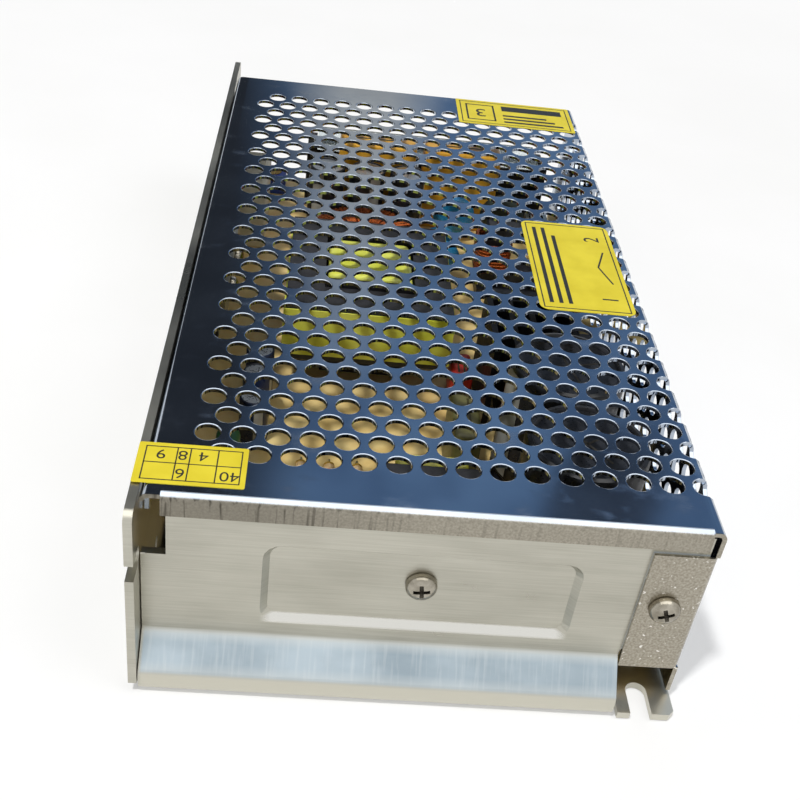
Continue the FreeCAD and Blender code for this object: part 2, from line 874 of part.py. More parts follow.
def selector_slider():
    front = selector_front()
    middle = near + selector_y - selector_travel / 2
    z = selector_axis_z()
    carrier = middle_block(0, middle, z - knob_height / 2 - carrier_rim / 2, carrier_sheet,
                           knob_length + 2 * carrier_rim, knob_height + carrier_rim)
    carrier.translate(V(front - selector_wall - fit_gap - carrier_sheet / 2, 0, 0))
    start = front - selector_wall - fit_gap - carrier_sheet
    knob = block(start, right - knob_recess, middle - knob_length / 2, middle + knob_length / 2,
                 z - knob_height / 2, z + knob_height / 2)
    groove = block(right - knob_recess - 0.5, right + 1, middle - 0.5, middle + 0.5,
                   z - knob_height / 2 - 1, z + knob_height / 2 + 1)
    return join(carrier, knob).cut(groove)


# Output voltage trimmer and lamp beside the terminals
def trimmer_place():
    return left + trimmer_inset_x, board_far - trimmer_inset_y


def trimmer_body():
    x, y = trimmer_place()
    shape = middle_block(x, y, board_top, trimmer_size, trimmer_size, trimmer_height)
    return shape.cut(rod(rotor_r + run_gap, rotor_depth + 1, V(x, y, board_top + trimmer_height - rotor_depth)))


def trimmer_rotor():
    x, y = trimmer_place()
    low = board_top + trimmer_height - rotor_depth + seat_gap
    rotor = rod(rotor_r, rotor_depth + seat_gap, V(x, y, low))
    high = low + rotor_depth + seat_gap
    slot = middle_block(x, y, high - rotor_depth / 2, rotor_r * 1.6, rotor_slot_width, rotor_depth)
    return rotor.cut(slot)


def power_lamp():
    x = left + lamp_inset_x
    y = board_far - trimmer_inset_y
    base = board_top + lamp_foot
    body = rod(lamp_r, lamp_height, V(x, y, base))
    leads = [middle_block(x + dx, y, board_top, lead_width, lead_width, lamp_foot + 0.5)
             for dx in (-leg_step / 2, leg_step / 2)]
    return join(body, *leads)


# Round parts of the board
def can(x, y, radius, height):
    return bar(radius, height, V(x, y, board_top), sides=can_sides)


def bulk_place(index):
    return right - bulk_inset_x, near + bulk_near_y + index * (2 * bulk_r + bulk_gap)


def bulk_capacitor(index):
    x, y = bulk_place(index)
    height = under_cover - bulk_headroom - board_top
    return can(x, y, bulk_r, height)


def x_cap_middle_y():
    return strip_near - x_cap_gap - x_cap_depth / 2


def x_capacitors():
    shift = (x_cap_length + x_cap_gap) / 2
    return [bevel_along(middle_block(x_cap_x + side * shift, x_cap_middle_y(), board_top,
                                     x_cap_length, x_cap_depth, x_cap_height), Z_AXIS, box_bevel)
            for side in (-1, 1)]


def out_cap_y():
    return x_cap_middle_y() - x_cap_depth / 2 - out_cap_gap - out_cap_r


def output_capacitors():
    step = 2 * out_cap_r + out_cap_gap
    first = core_x - step
    return group([can(first + i * step, out_cap_y(), out_cap_r, out_cap_height) for i in range(out_cap_count)])


# Output choke: ring core with a copper winding round it
def ring_place():
    return core_x, out_cap_y() - out_cap_r - choke_ring_gap - choke_ring_r - wire_thick


def choke_ring():
    low = board_top + wire_thick + coil_gap
    return flat_sided(choke_ring_r, low, choke_core_height).cut(flat_sided(choke_hole_r, low - 1, case_height))


def flat_sided(radius, low, height):
    x, y = ring_place()
    return bar(radius, height, V(x, y, low), sides=2 * turn_count)


def choke_winding():
    x, y = ring_place()
    outer_r = choke_ring_r + coil_gap
    inner_r = choke_hole_r - coil_gap
    tall = choke_core_height + 2 * coil_gap
    shell = flat_sided(outer_r + wire_thick, board_top, tall + 2 * wire_thick)
    shell = shell.cut(flat_sided(inner_r - wire_thick, board_top - 1, case_height))
    shell = shell.cut(flat_sided(outer_r, board_top + wire_thick, tall).cut(
        flat_sided(inner_r, board_top, case_height)))
    gaps = []
    for i in range(turn_count):
        gap = block(0, 2 * choke_ring_r, -turn_gap / 2, turn_gap / 2, board_top + 2 * wire_thick, case_height)
        gap.rotate(V(0, 0, 0), Z_AXIS, (i + 0.5) * 360 / turn_count)
        gap.translate(V(x, y, 0))
        gaps.append(gap)
    return shell.cut(group(gaps))


# Main transformer: two E halves, bobbin, taped winding and the tape that straps the halves
def core_far():
    return ring_place()[1] - choke_ring_r - wire_thick - core_far_gap


def core_near():
    return core_far() - 2 * core_back - core_window


def core_half(y_back, inward):
    x0 = core_x - core_width / 2
    x1 = core_x + core_width / 2
    z0 = board_top + core_low_gap
    z1 = z0 + core_thick
    reach = core_back + core_window / 2 - seat_gap / 2
    ends = sorted((y_back, y_back + inward * core_back))
    back = block(x0, x1, ends[0], ends[1], z0, z1)
    ends = sorted((y_back, y_back + inward * reach))
    legs = [block(x0, x0 + core_leg, ends[0], ends[1], z0, z1),
            block(x1 - core_leg, x1, ends[0], ends[1], z0, z1)]
    half = core_post / 2
    middle_z = (z0 + z1) / 2
    post = block(core_x - half, core_x + half, ends[0], ends[1],
                 middle_z - core_post_height / 2, middle_z + core_post_height / 2)
    return join(back, *(legs + [post]))


def transformer_bobbin():
    y0 = core_near() + core_back + coil_gap
    y1 = core_far() - core_back - coil_gap
    middle_z = board_top + core_low_gap + core_thick / 2
    half = core_post / 2 + coil_gap
    tall = core_post_height / 2 + coil_gap
    tube = block(core_x - half - bobbin_wall, core_x + half + bobbin_wall, y0, y1,
                 middle_z - tall - bobbin_wall, middle_z + tall + bobbin_wall)
    inner_half = core_width / 2 - core_leg - coil_gap
    flanges = [block(core_x - inner_half, core_x + inner_half, y, y + bobbin_wall,
                     middle_z - core_thick / 2 - coil_top_rise, middle_z + core_thick / 2 + coil_top_rise)
               for y in (y0, y1 - bobbin_wall)]
    feet = [block(core_x - inner_half, core_x + inner_half, y, y + 2 * bobbin_wall, board_top,
                  middle_z - core_thick / 2 + coil_gap)
            for y in (y0, y1 - 2 * bobbin_wall)]
    bore = block(core_x - half, core_x + half, y0 - 1, y1 + 1, middle_z - tall, middle_z + tall)
    return join(tube, *(flanges + feet)).cut(bore)


def transformer_winding():
    y0 = core_near() + core_back + 2 * coil_gap + bobbin_wall + seat_gap
    y1 = core_far() - core_back - 2 * coil_gap - bobbin_wall - seat_gap
    middle_z = board_top + core_low_gap + core_thick / 2
    inner_half = core_width / 2 - core_leg - 2 * coil_gap
    tall = core_thick / 2 + coil_top_rise - coil_gap
    coil = block(core_x - inner_half, core_x + inner_half, y0 + bobbin_wall, y1 - bobbin_wall,
                 middle_z - tall, middle_z + tall)
    coil = bevel_along(coil, Y_AXIS, coil_bevel)
    half = core_post / 2 + coil_gap + bobbin_wall + seat_gap
    hole_tall = core_post_height / 2 + coil_gap + bobbin_wall + seat_gap
    return coil.cut(block(core_x - half, core_x + half, y0 - 1, y1 + 1, middle_z - hole_tall, middle_z + hole_tall))


def transformer_strap():
    x0 = core_x - core_width / 2
    x1 = core_x + core_width / 2
    middle_z = board_top + core_low_gap + core_thick / 2
    low = middle_z - strap_width / 2
    gap = seat_gap
    outer = block(x0 - strap_sheet - gap, x1 + strap_sheet + gap, core_near() - strap_sheet - gap,
                  core_far() + strap_sheet + gap, low, low + strap_width)
    inner = block(x0 - gap, x1 + gap, core_near() - gap, core_far() + gap, low - 1, low + strap_width + 1)
    return outer.cut(inner)


# Driver transformer at the blank end
def driver_middle():
    return driver_x, near + driver_y


def driver_core():
    x, y = driver_middle()
    z0 = board_top + driver_foot
    shape = middle_block(x, y, z0, driver_width, driver_depth / 2, driver_height)
    window = middle_block(x, y, z0 + driver_leg, driver_width - 2 * driver_leg, driver_depth,
                          driver_height - 2 * driver_leg)
    return shape.cut(window)


def driver_winding():
    x, y = driver_middle()
    z0 = board_top + driver_foot + driver_leg + coil_gap
    high = driver_height - 2 * driver_leg - 2 * coil_gap
    inner = middle_block(x, y, z0, driver_width - 2 * driver_leg - 2 * coil_gap, driver_depth, high)
    coils = []
    for side in (-1, 1):
        middle_y = y + side * (driver_depth * 3 / 8 + coil_gap / 2)
        depth = driver_depth / 4 - coil_gap
        coil = middle_block(x, middle_y, board_top + driver_foot, driver_width - driver_leg, depth, driver_height)
        foot = middle_block(x, middle_y, board_top, driver_width - driver_leg, depth, driver_foot)
        coils += [bevel_along(coil, Y_AXIS, coil_bevel), foot]
    return join(inner, *coils)


# Mains filter choke, capacitors, varistor, thermistor and fuse
def frame_middle():
    return right - frame_inset_x, far - frame_far_y


def frame_core():
    x, y = frame_middle()
    z0 = board_top + frame_foot
    shape = middle_block(x, y, z0, frame_width, frame_thick, frame_height)
    window = middle_block(x, y, z0 + frame_bar, frame_width - 2 * frame_bar, frame_thick + 2,
                          frame_height - 2 * frame_bar)
    return shape.cut(window)


def frame_coils():
    x, y = frame_middle()
    z0 = board_top + frame_foot + frame_bar + coil_gap
    high = frame_height - 2 * frame_bar - 2 * coil_gap
    coils = []
    for side in (-1, 1):
        leg_x = x + side * (frame_width - frame_bar) / 2
        outer = middle_block(leg_x, y, z0, frame_bar + 2 * frame_coil, frame_thick + 2 * frame_coil, high)
        outer = bevel_along(outer, Z_AXIS, frame_coil / 2)
        inner = middle_block(leg_x, y, z0 - 1, frame_bar + 2 * coil_gap, frame_thick + 2 * coil_gap, high + 2)
        coils.append(outer.cut(inner))
    return group(coils)


def frame_base():
    x, y = frame_middle()
    depth = frame_thick + 2 * frame_coil
    return middle_block(x, y, board_top, frame_width + 2, depth, frame_foot)


def disc(x, y, radius, thick):
    body = bar(radius, thick, V(x, y - thick / 2, board_top + disc_foot + radius), Y_AXIS, can_sides)
    leads = [middle_block(x + dx, y, board_top, lead_width, lead_width, disc_foot + radius / 2)
             for dx in (-radius / 2, radius / 2)]
    return join(body, *leads)


def y_capacitors():
    return group([disc(disc_x, far - disc_far_y - i * disc_space, disc_r, disc_thick) for i in range(2)])


def disc_row_y(gap):
    return x_cap_middle_y() - x_cap_depth / 2 - gap - disc_thick / 2


def varistor():
    return disc(varistor_x, disc_row_y(varistor_gap), varistor_r, disc_thick)


def thermistor():
    return disc(thermistor_x, disc_row_y(thermistor_gap), thermistor_r, disc_thick)


def far_screw_edge():
    return board_far - far_pillar_y - pan_head_r


def fuse_start():
    return V(right - fuse_inset_x, far_screw_edge() - fuse_gap - fuse_length, board_top + fuse_z)


def fuse():
    start = fuse_start()
    glass = bar(fuse_r - fit_gap, fuse_length - 2 * fit_gap, start + Y_AXIS * fit_gap, Y_AXIS, head_sides)
    caps = [bar(fuse_r, fuse_cap_length, start + Y_AXIS * step, Y_AXIS, head_sides)
            for step in (0, fuse_length - fuse_cap_length)]
    return join(glass, *caps)


def fuse_clips():
    clips = []
    start = fuse_start()
    wide = fuse_r + clip_sheet + seat_gap
    for y in (start.y + fuse_cap_length / 2, start.y + fuse_length - fuse_cap_length / 2):
        body = middle_block(start.x, y, board_top, 2 * wide, clip_width, fuse_z + fuse_r * 0.6)
        seat = bar(fuse_r + seat_gap, clip_width + 2, V(start.x, y - clip_width / 2 - 1, start.z), Y_AXIS, head_sides)
        throat = middle_block(start.x, y, start.z, 2 * fuse_r * 0.8, clip_width + 2, fuse_r * 2)
        hollow = middle_block(start.x, y, board_top + clip_sheet, 2 * fuse_r, clip_width + 2,
                              fuse_z - fuse_r - clip_sheet)
        clips.append(body.cut(seat).cut(throat).cut(hollow))
    return group(clips)


# Heatsink with the bridge rectifier
def sink_near():
    return bulk_place(1)[1] + bulk_r + sink_gap


def heatsink():
    x0 = right - sink_inset_x - sink_width / 2
    x1 = x0 + sink_width
    y0 = sink_near()
    shape = block(x0, x1, y0 + sink_length - sink_back, y0 + sink_length, board_top, board_top + sink_height)
    step = (sink_width - fin_sheet) / (fin_count - 1)
    fins = [block(x0 + i * step, x0 + i * step + fin_sheet, y0, y0 + sink_length, board_top,
                  board_top + sink_height) for i in range(fin_count)]
    return join(shape, *fins)


def bridge_rectifier():
    x = right - sink_inset_x
    y0 = sink_near() + sink_length + seat_gap
    low = board_top + pack_foot
    body = block(x - bridge_width / 2, x + bridge_width / 2, y0, y0 + bridge_thick, low, low + bridge_height)
    body = body.cut(bar(tap_r + screw_clearance, bridge_thick + 2, V(x, y0 - 1, low + bridge_height * 0.6), Y_AXIS))
    legs = [middle_block(x + (i - 1.5) * leg_step * 1.8, y0 + bridge_thick / 2, board_top, leg_width,
                         leg_thick, pack_foot + 1) for i in range(4)]
    return join(body, *legs)


# Power packages pressed to the end wall and to the left wall
def upright_pack(x, y, along_x):
    low = board_top + pack_foot
    size = (pack_width, pack_thick) if along_x else (pack_thick, pack_width)
    body = middle_block(x, y, low, size[0], size[1], pack_height)
    legs = []
    for i in (-1, 0, 1):
        spot = (x + i * leg_step, y) if along_x else (x, y + i * leg_step)
        legs.append(middle_block(spot[0], spot[1], board_top, leg_thick, leg_thick, pack_foot + 1))
    return join(body, *legs)


def end_pack_y():
    return press_floor + pad_sheet + pack_thick / 2


def end_transistor(side):
    return upright_pack(side * end_pack_space / 2, end_pack_y(), True)


def end_bar_y():
    return end_pack_y() + pack_thick / 2


def end_clamp_bar():
    reach = (end_pack_space + pack_width) / 2 + bar_over
    z0 = flap_screw_z - bar_height / 2
    strip = block(-reach, reach, end_bar_y(), end_bar_y() + bar_sheet, z0, z0 + bar_height)
    return strip.cut(bar(tap_r, bar_sheet + 2, V(0, end_bar_y() - 1, flap_screw_z), Y_AXIS))


def end_screw():
    seat = V(0, end_face + press_depth, flap_screw_z)
    length = end_bar_y() + bar_sheet + bar_screw_tail - seat.y
    return crossed_screw(seat, Y_AXIS * -1, X_AXIS, length)


def wall_pack_places():
    return [near + wall_pack_near + i * wall_pack_step for i in range(wall_pack_count)]


def wall_pack_x():
    return wall_in + pad_sheet + pack_thick / 2


def wall_bar_z():
    return board_top + pack_foot + pack_height / 2


def wall_rectifier(index):
    return upright_pack(wall_pack_x(), wall_pack_places()[index], False)


def thermal_pads():
    low = board_top + pack_foot
    pads = [middle_block(side * end_pack_space / 2, press_floor + pad_sheet / 2, low, pack_width, pad_sheet,
                         pack_height) for side in (-1, 1)]
    pads += [middle_block(wall_in + pad_sheet / 2, y, low, pad_sheet, pack_width, pack_height)
             for y in wall_pack_places()]
    return group(pads)


def wall_bar_screw_places():
    places = wall_pack_places()
    return [(places[i] + places[i + 1]) / 2 for i in range(wall_pack_count - 1)]


def wall_clamp_bar():
    places = wall_pack_places()
    x0 = wall_pack_x() + pack_thick / 2
    z0 = wall_bar_z() - bar_height / 2
    reach = pack_width / 2
    strip = block(x0, x0 + bar_sheet, places[0] - reach, places[-1] + reach, z0, z0 + bar_height)
    for y in wall_bar_screw_places():
        strip = strip.cut(bar(tap_r + screw_clearance, bar_sheet + 2, V(x0 - 1, y, wall_bar_z()), X_AXIS))
    return strip


def wall_clamp_screws():
    x = wall_pack_x() + pack_thick / 2 + bar_sheet
    length = x - left - fit_gap
    return [pan_screw(V(x, y, wall_bar_z()), X_AXIS, length) for y in wall_bar_screw_places()]


# Small parts of the board
def cement_resistor():
    x = left + cement_inset_x
    y = far_screw_edge() - cement_gap - cement_length / 2
    return middle_block(x, y, board_top, cement_width, cement_length, cement_height)


def control_chip():
    y = near + chip_y
    body = middle_block(chip_x, y, board_top + chip_foot, chip_length, chip_width, chip_height)
    notch = bar(1.0, 2, V(chip_x - chip_length / 2, y, board_top + chip_foot + chip_height - 0.5))
    rows = [middle_block(chip_x, y + side * (chip_width / 2 + 0.3), board_top, chip_length - 1.5, 0.6,
                         chip_foot + chip_height / 2) for side in (-1, 1)]
    return join(body.cut(notch), *rows)


def small_capacitors():
    return group([can(small_cap_x, near + small_cap_y + i * small_cap_step, small_cap_r, small_cap_height)
                  for i in range(small_cap_count)])


def boxed_capacitor(x, y, length, depth, height):
    return bevel_along(middle_block(x, y, board_top, depth, length, height), Z_AXIS, box_bevel)


def resistors():
    shapes = []
    for i in range(resistor_count):
        x = resistor_x + i * resistor_step
        y = near + resistor_y
        z = board_top + resistor_z
        body = bar(resistor_r, resistor_length, V(x, y - resistor_length / 2, z), Y_AXIS)
        reach = resistor_length / 2 + resistor_lead
        wire = middle_block(x, y, z - lead_width / 2, lead_width, 2 * reach, lead_width)
        feet = [middle_block(x, y + side * (reach - lead_width / 2), board_top, lead_width, lead_width,
                             resistor_z) for side in (-1, 1)]
        shapes.append(join(body, wire, *feet))
    return group(shapes)


# Stickers on the case
def date_label():
    y0 = near + date_label_near
    y1 = y0 + date_label_depth
    return block(left, left + date_label_reach, y0, y1, cover_top, cover_top + label_sheet)


def rear_label():
    x1 = right - rear_label_right
    return block(x1 - rear_label_width, x1, cover_far - rear_label_depth, cover_far, cover_top,
                 cover_top + label_sheet)


def selector_label():
    x1 = right - selector_label_right
    middle = near + selector_y
    half = selector_label_length / 2
    shape = block(x1 - selector_label_width, x1, middle - half, middle + half, cover_top, cover_top + label_sheet)
    return bevel_along(shape, Z_AXIS, selector_label_round)


# The whole supply
os.makedirs("parts", exist_ok=True)
x_cap_pair = x_capacitors()
pieces = {
    "chassis": chassis(),
    "cover": cover(),
    "pan_head_screws": group([flap_screw(), end_screw()] + board_screws() + wall_clamp_screws()),
    "side_screws": side_screws(),
    "circuit_board": board(),
    "board_pillars": board_pillars(),
    "insulating_film": film(),
    "terminal_block": terminal_block(),
    "terminal_plates": terminal_plates(),
    "terminal_screws": terminal_screws(),
    "terminal_lid": terminal_lid(),
    "selector_body": selector_body(),
    "selector_slider": selector_slider(),
    "trimmer_body": trimmer_body(),
    "trimmer_rotor": trimmer_rotor(),
    "power_lamp": power_lamp(),
    "bulk_capacitor_near": bulk_capacitor(0),
    "bulk_capacitor_far": bulk_capacitor(1),
    "x_capacitor_left": x_cap_pair[0],
    "x_capacitor_right": x_cap_pair[1],
    "output_capacitors": output_capacitors(),
    "choke_ring": choke_ring(),
    "choke_winding": choke_winding(),
    "transformer_core_near": core_half(core_near(), 1),
    "transformer_core_far": core_half(core_far(), -1),
    "transformer_bobbin": transformer_bobbin(),
    "transformer_winding": transformer_winding(),
    "transformer_strap": transformer_strap(),
    "driver_core": driver_core(),
    "driver_winding": driver_winding(),
    "filter_core": frame_core(),
    "filter_coils": frame_coils(),
    "filter_base": frame_base(),
    "y_capacitors": y_capacitors(),
    "varistor": varistor(),
    "thermistor": thermistor(),
    "fuse": fuse(),
    "fuse_clips": fuse_clips(),
    "heatsink": heatsink(),
    "bridge_rectifier": bridge_rectifier(),
    "power_transistors": group([end_transistor(-1), end_transistor(1)]),
    "end_clamp_bar": end_clamp_bar(),
    "output_rectifiers": group([wall_rectifier(i) for i in range(wall_pack_count)]),
    "thermal_pads": thermal_pads(),
    "wall_clamp_bar": wall_clamp_bar(),
    "cement_resistor": cement_resistor(),
    "control_chip": control_chip(),
    "small_capacitors": small_capacitors(),
    "red_capacitor": boxed_capacitor(red_cap_x, near + red_cap_y, red_cap_length, red_cap_depth, red_cap_height),
    "green_capacitor": boxed_capacitor(green_cap_x, near + green_cap_y, green_cap_length, green_cap_depth,
                                       green_cap_height),
    "snubber_capacitor": boxed_capacitor(snub_cap_x, near + snub_cap_y, snub_cap_length, snub_cap_depth,
                                         snub_cap_height),
    "resistors": resistors(),
    "date_label": date_label(),
    "rear_label": rear_label(),
    "selector_label": selector_label(),
}
for name, shape in pieces.items():
    save(name, shape)
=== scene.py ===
import math

import bmesh
import bpy
from mathutils import Matrix, Vector
from mathutils.kdtree import KDTree


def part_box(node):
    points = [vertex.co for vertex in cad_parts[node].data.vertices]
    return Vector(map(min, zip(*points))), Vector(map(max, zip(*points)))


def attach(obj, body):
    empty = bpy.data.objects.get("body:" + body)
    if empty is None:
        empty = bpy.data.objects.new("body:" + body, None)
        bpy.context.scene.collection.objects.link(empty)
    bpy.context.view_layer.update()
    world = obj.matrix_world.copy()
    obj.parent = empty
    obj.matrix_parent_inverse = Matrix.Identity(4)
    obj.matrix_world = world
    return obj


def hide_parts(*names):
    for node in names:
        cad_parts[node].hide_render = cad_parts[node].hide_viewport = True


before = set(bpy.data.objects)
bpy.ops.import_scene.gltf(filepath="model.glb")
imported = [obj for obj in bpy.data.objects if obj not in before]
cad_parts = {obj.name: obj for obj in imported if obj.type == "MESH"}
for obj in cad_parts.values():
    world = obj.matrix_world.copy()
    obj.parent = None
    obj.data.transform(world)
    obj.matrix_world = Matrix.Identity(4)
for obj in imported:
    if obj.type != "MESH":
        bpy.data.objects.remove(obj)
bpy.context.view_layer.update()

# Perforated cover: bright plated steel sheet 0.8 mm thick, punched flat in a staggered field of round
# holes, then folded into a top with a hem on the left, a side wall on the right, a lip over the blank
# end and a flap that a screw holds. Sizes are in millimetres, and meshes are made in metres.
MM = 0.001
SHEET = 0.8
TOP = 41.9
BEND = 1.5
BEND_STEPS = 6
NEUTRAL = 1.1
ARC = NEUTRAL * math.pi / 2
RIGHT_FOLD, LEFT_FOLD = 48.0, -46.3
FOLD_Z = TOP - BEND
NEAR_EDGE, FAR_EDGE = -94.2, 86.0
FOOT_Z = 2.2
HEM_NEAR, HEM_FAR, HEM_LOW = -88.5, 80.0, 33.6
LIP_Y = -94.5
LIP_FOLD_Y = LIP_Y + BEND
LIP_LEFT, LIP_RIGHT, LIP_LOW = -44.4, 47.2, 37.7
FLAP_LOW, FLAP_HIGH, FLAP_LEFT = 8.5, 36.4, 38.1
TAB_STEPS = 8
PITCH = 6.0
ROW_STEP = PITCH * math.sqrt(3) / 2
HOLE_R = 2.25
ROWS, COLUMNS = 31, 19
FIRST_X, FIRST_Y = -35.65, -82.3
FIELD_NEAR = FIRST_Y - ROW_STEP / 2
FIELD_FAR = FIRST_Y + (ROWS - 0.5) * ROW_STEP
EVEN_START = FIRST_X - PITCH / 2
EVEN_END = EVEN_START + COLUMNS * PITCH
WINDOW_LOW, WINDOW_HIGH = 9.5, 14.7
WINDOW_NEAR, WINDOW_FAR = -12.605, -1.405
SEAT_Z, SEAT_Y, SEAT_HALF, SEAT_R = 6.0, 50.0, 3.2, 2.9
RIM, RIM_DROP = 0.17, 0.12
SAME_PLACE = 0.001
scene = bpy.context.scene


def linear(text):
    """An sRGB hex colour as linear RGBA."""
    parts = [int(text[i:i + 2], 16) / 255 for i in (0, 2, 4)]
    return tuple(p / 12.92 if p <= 0.04045 else ((p + 0.055) / 1.055) ** 2.4 for p in parts) + (1.0,)


def add(tree, kind, *values, **settings):
    """One node with its settings. Its inputs take values in order, or by name from a dict. A value is
    plain, a socket, or a node, whose first output in use is then linked."""
    made = tree.nodes.new(kind)
    for name, setting in settings.items():
        setattr(made, name, setting)
    named = values[0] if values and isinstance(values[0], dict) else dict(enumerate(values))
    in_use = {socket.name: socket for socket in made.inputs if socket.enabled}
    for name, value in named.items():
        socket = made.inputs[name] if isinstance(name, int) else in_use[name]
        if isinstance(value, bpy.types.Node):
            value = next(output for output in value.outputs if output.enabled)
        if isinstance(value, bpy.types.NodeSocket):
            tree.links.new(value, socket)
        else:
            socket.default_value = value
    return made


def start_finish(name):
    """A new material, its empty tree and the place on the piece."""
    material = bpy.data.materials.new(name)
    material.use_nodes = True
    tree = material.node_tree
    tree.nodes.clear()
    return material, tree, add(tree, "ShaderNodeTexCoord").outputs["Object"]


def end_finish(tree, inputs):
    """The surface's shader with its inputs, as the material's result."""
    add(tree, "ShaderNodeOutputMaterial", {"Surface": add(tree, "ShaderNodeBsdfPrincipled", inputs)})


def grain(tree, place, size, stretch=(1, 1, 1), detail=3.0):
    """A cloudy pattern of size mm, drawn out along each axis by stretch."""
    scale = [1 / (size * MM * s) for s in stretch]
    laid = add(tree, "ShaderNodeMapping", {"Vector": place, "Scale": scale})
    return add(tree, "ShaderNodeTexNoise", {"Vector": laid, "Scale": 1.0, "Detail": detail})


def two_shades(tree, pattern, first, second, start=0.35, end=0.65):
    """Two close shades of one finish, the second where the pattern is high."""
    share = add(tree, "ShaderNodeMapRange", pattern, start, end)
    return add(tree, "ShaderNodeMix", {"Factor": share, "A": linear(first), "B": linear(second)},
               data_type="RGBA")


# Plating gives a cool mirror with faint clouds. On the lip and the flap, where the tool has drawn it, it
# turns warm and rougher, with dark upright tool marks towards the left. The flap carries painted glints,
# white specks in its colour, and painted shade darkens the lip towards its left end.
def plated_finish():
    material, tree, place = start_finish("bright_plated_steel")
    x, y, z = add(tree, "ShaderNodeSeparateXYZ", place).outputs
    cloud = grain(tree, place, 22.0)
    sparkle = grain(tree, place, 0.45, detail=4.0)
    drawn = grain(tree, place, 0.8, (1, 1, 18))
    front = add(tree, "ShaderNodeMapRange", y, -94.15 * MM, -93.85 * MM, 1.0, 0.0)
    left = add(tree, "ShaderNodeMapRange", x, -30.0 * MM, 0.0, 1.0, 0.25)
    under_lip = add(tree, "ShaderNodeMapRange", z, 36.6 * MM, 37.2 * MM, 1.0, 0.0)
    flap = add(tree, "ShaderNodeMath", front, under_lip, operation="MULTIPLY")

    flap_tone_and_glints = two_shades(tree, sparkle, "928B7D", "B4AEA0", 0.36, 0.68)
    # Painted glints: bright white specks mixed into the flap's colour stand for sparkles of light.
    glints = add(tree, "ShaderNodeMapRange", grain(tree, place, 0.9, detail=2.0), 0.66, 0.7, 0.0, 0.85)
    flap_tone_and_glints = add(tree, "ShaderNodeMix", {"Factor": glints, "A": flap_tone_and_glints, "B": linear("F4F1EA")},
               data_type="RGBA")
    lip = two_shades(tree, sparkle, "958F82", "B3AD9F", 0.34, 0.7)
    # Painted shade: the lip's colour is darkened towards its left end.
    shadow = add(tree, "ShaderNodeMath", left, 0.6, operation="MULTIPLY")
    lip = add(tree, "ShaderNodeMix", {"Factor": shadow, "A": lip, "B": linear("6B675D")}, data_type="RGBA")
    marks = add(tree, "ShaderNodeMapRange", drawn, 0.54, 0.66, 0.0, 0.9)
    marks = add(tree, "ShaderNodeMath", left, marks, operation="MULTIPLY")
    lip = add(tree, "ShaderNodeMix", {"Factor": marks, "A": lip, "B": linear("4F4B43")}, data_type="RGBA")
    colour = two_shades(tree, cloud, "A2ABB8", "B2BBC7")
    colour = add(tree, "ShaderNodeMix", {"Factor": front, "A": colour, "B": lip}, data_type="RGBA")
    colour = add(tree, "ShaderNodeMix", {"Factor": flap, "A": colour, "B": flap_tone_and_glints}, data_type="RGBA")

    smudge = grain(tree, place, 4.0, (1.6, 1, 1), 4.0)
    smudge = add(tree, "ShaderNodeMapRange", smudge, 0.56, 0.72, 0.0, 0.14)
    rough = add(tree, "ShaderNodeMapRange", cloud, 0.3, 0.7, 0.06, 0.12)
    rough = add(tree, "ShaderNodeMath", front, 0.2, rough, operation="MULTIPLY_ADD")
    relief = add(tree, "ShaderNodeMath", drawn, 0.5, sparkle, operation="MULTIPLY_ADD")
    relief = add(tree, "ShaderNodeMath", relief, front, operation="MULTIPLY")
    wave = add(tree, "ShaderNodeBump", {"Height": cloud, "Distance": 0.1 * MM, "Strength": 0.25})
    end_finish(tree, {
        "Base Color": colour, "Metallic": 1.0,
        "Roughness": add(tree, "ShaderNodeMath", rough, smudge, operation="ADD"),
        "Normal": add(tree, "ShaderNodeBump", {"Height": relief, "Distance": 0.05 * MM, "Strength": 0.4,
                                               "Normal": wave})})
    return material


plating = plated_finish()


def close_seams(mesh, reach):
    """Joins borders that meet, also where one long edge meets several short ones within reach mm."""
    nearest_end = 0.02 * MM
    work = bmesh.new()
    work.from_mesh(mesh)
    bmesh.ops.remove_doubles(work, verts=work.verts, dist=SAME_PLACE * MM)
    border = [e for e in work.edges if e.is_boundary]
    corners = list(dict.fromkeys(v for e in border for v in e.verts))
    near = KDTree(len(corners))
    for i, corner in enumerate(corners):
        near.insert(corner.co, i)
    near.balance()
    for edge in border:
        first = edge.verts[0]
        start, end = (v.co.copy() for v in edge.verts)
        along = end - start
        found = []
        for spot, _, _ in near.find_range((start + end) / 2, along.length / 2):
            share = (spot - start).dot(along) / along.length_squared
            aside = (start + along * share - spot).length
            if min(share, 1 - share) * along.length > nearest_end and aside < reach * MM:
                found.append((share, spot))
        for share, spot in sorted(found, key=lambda pair: -pair[0]):
            made = bmesh.utils.edge_split(edge, first, 0.5)[1]
            made.co = spot
            edge = next(e for e in made.link_edges if first in e.verts)
    bmesh.ops.remove_doubles(work, verts=work.verts, dist=SAME_PLACE * MM)
    work.to_mesh(mesh)
    work.free()


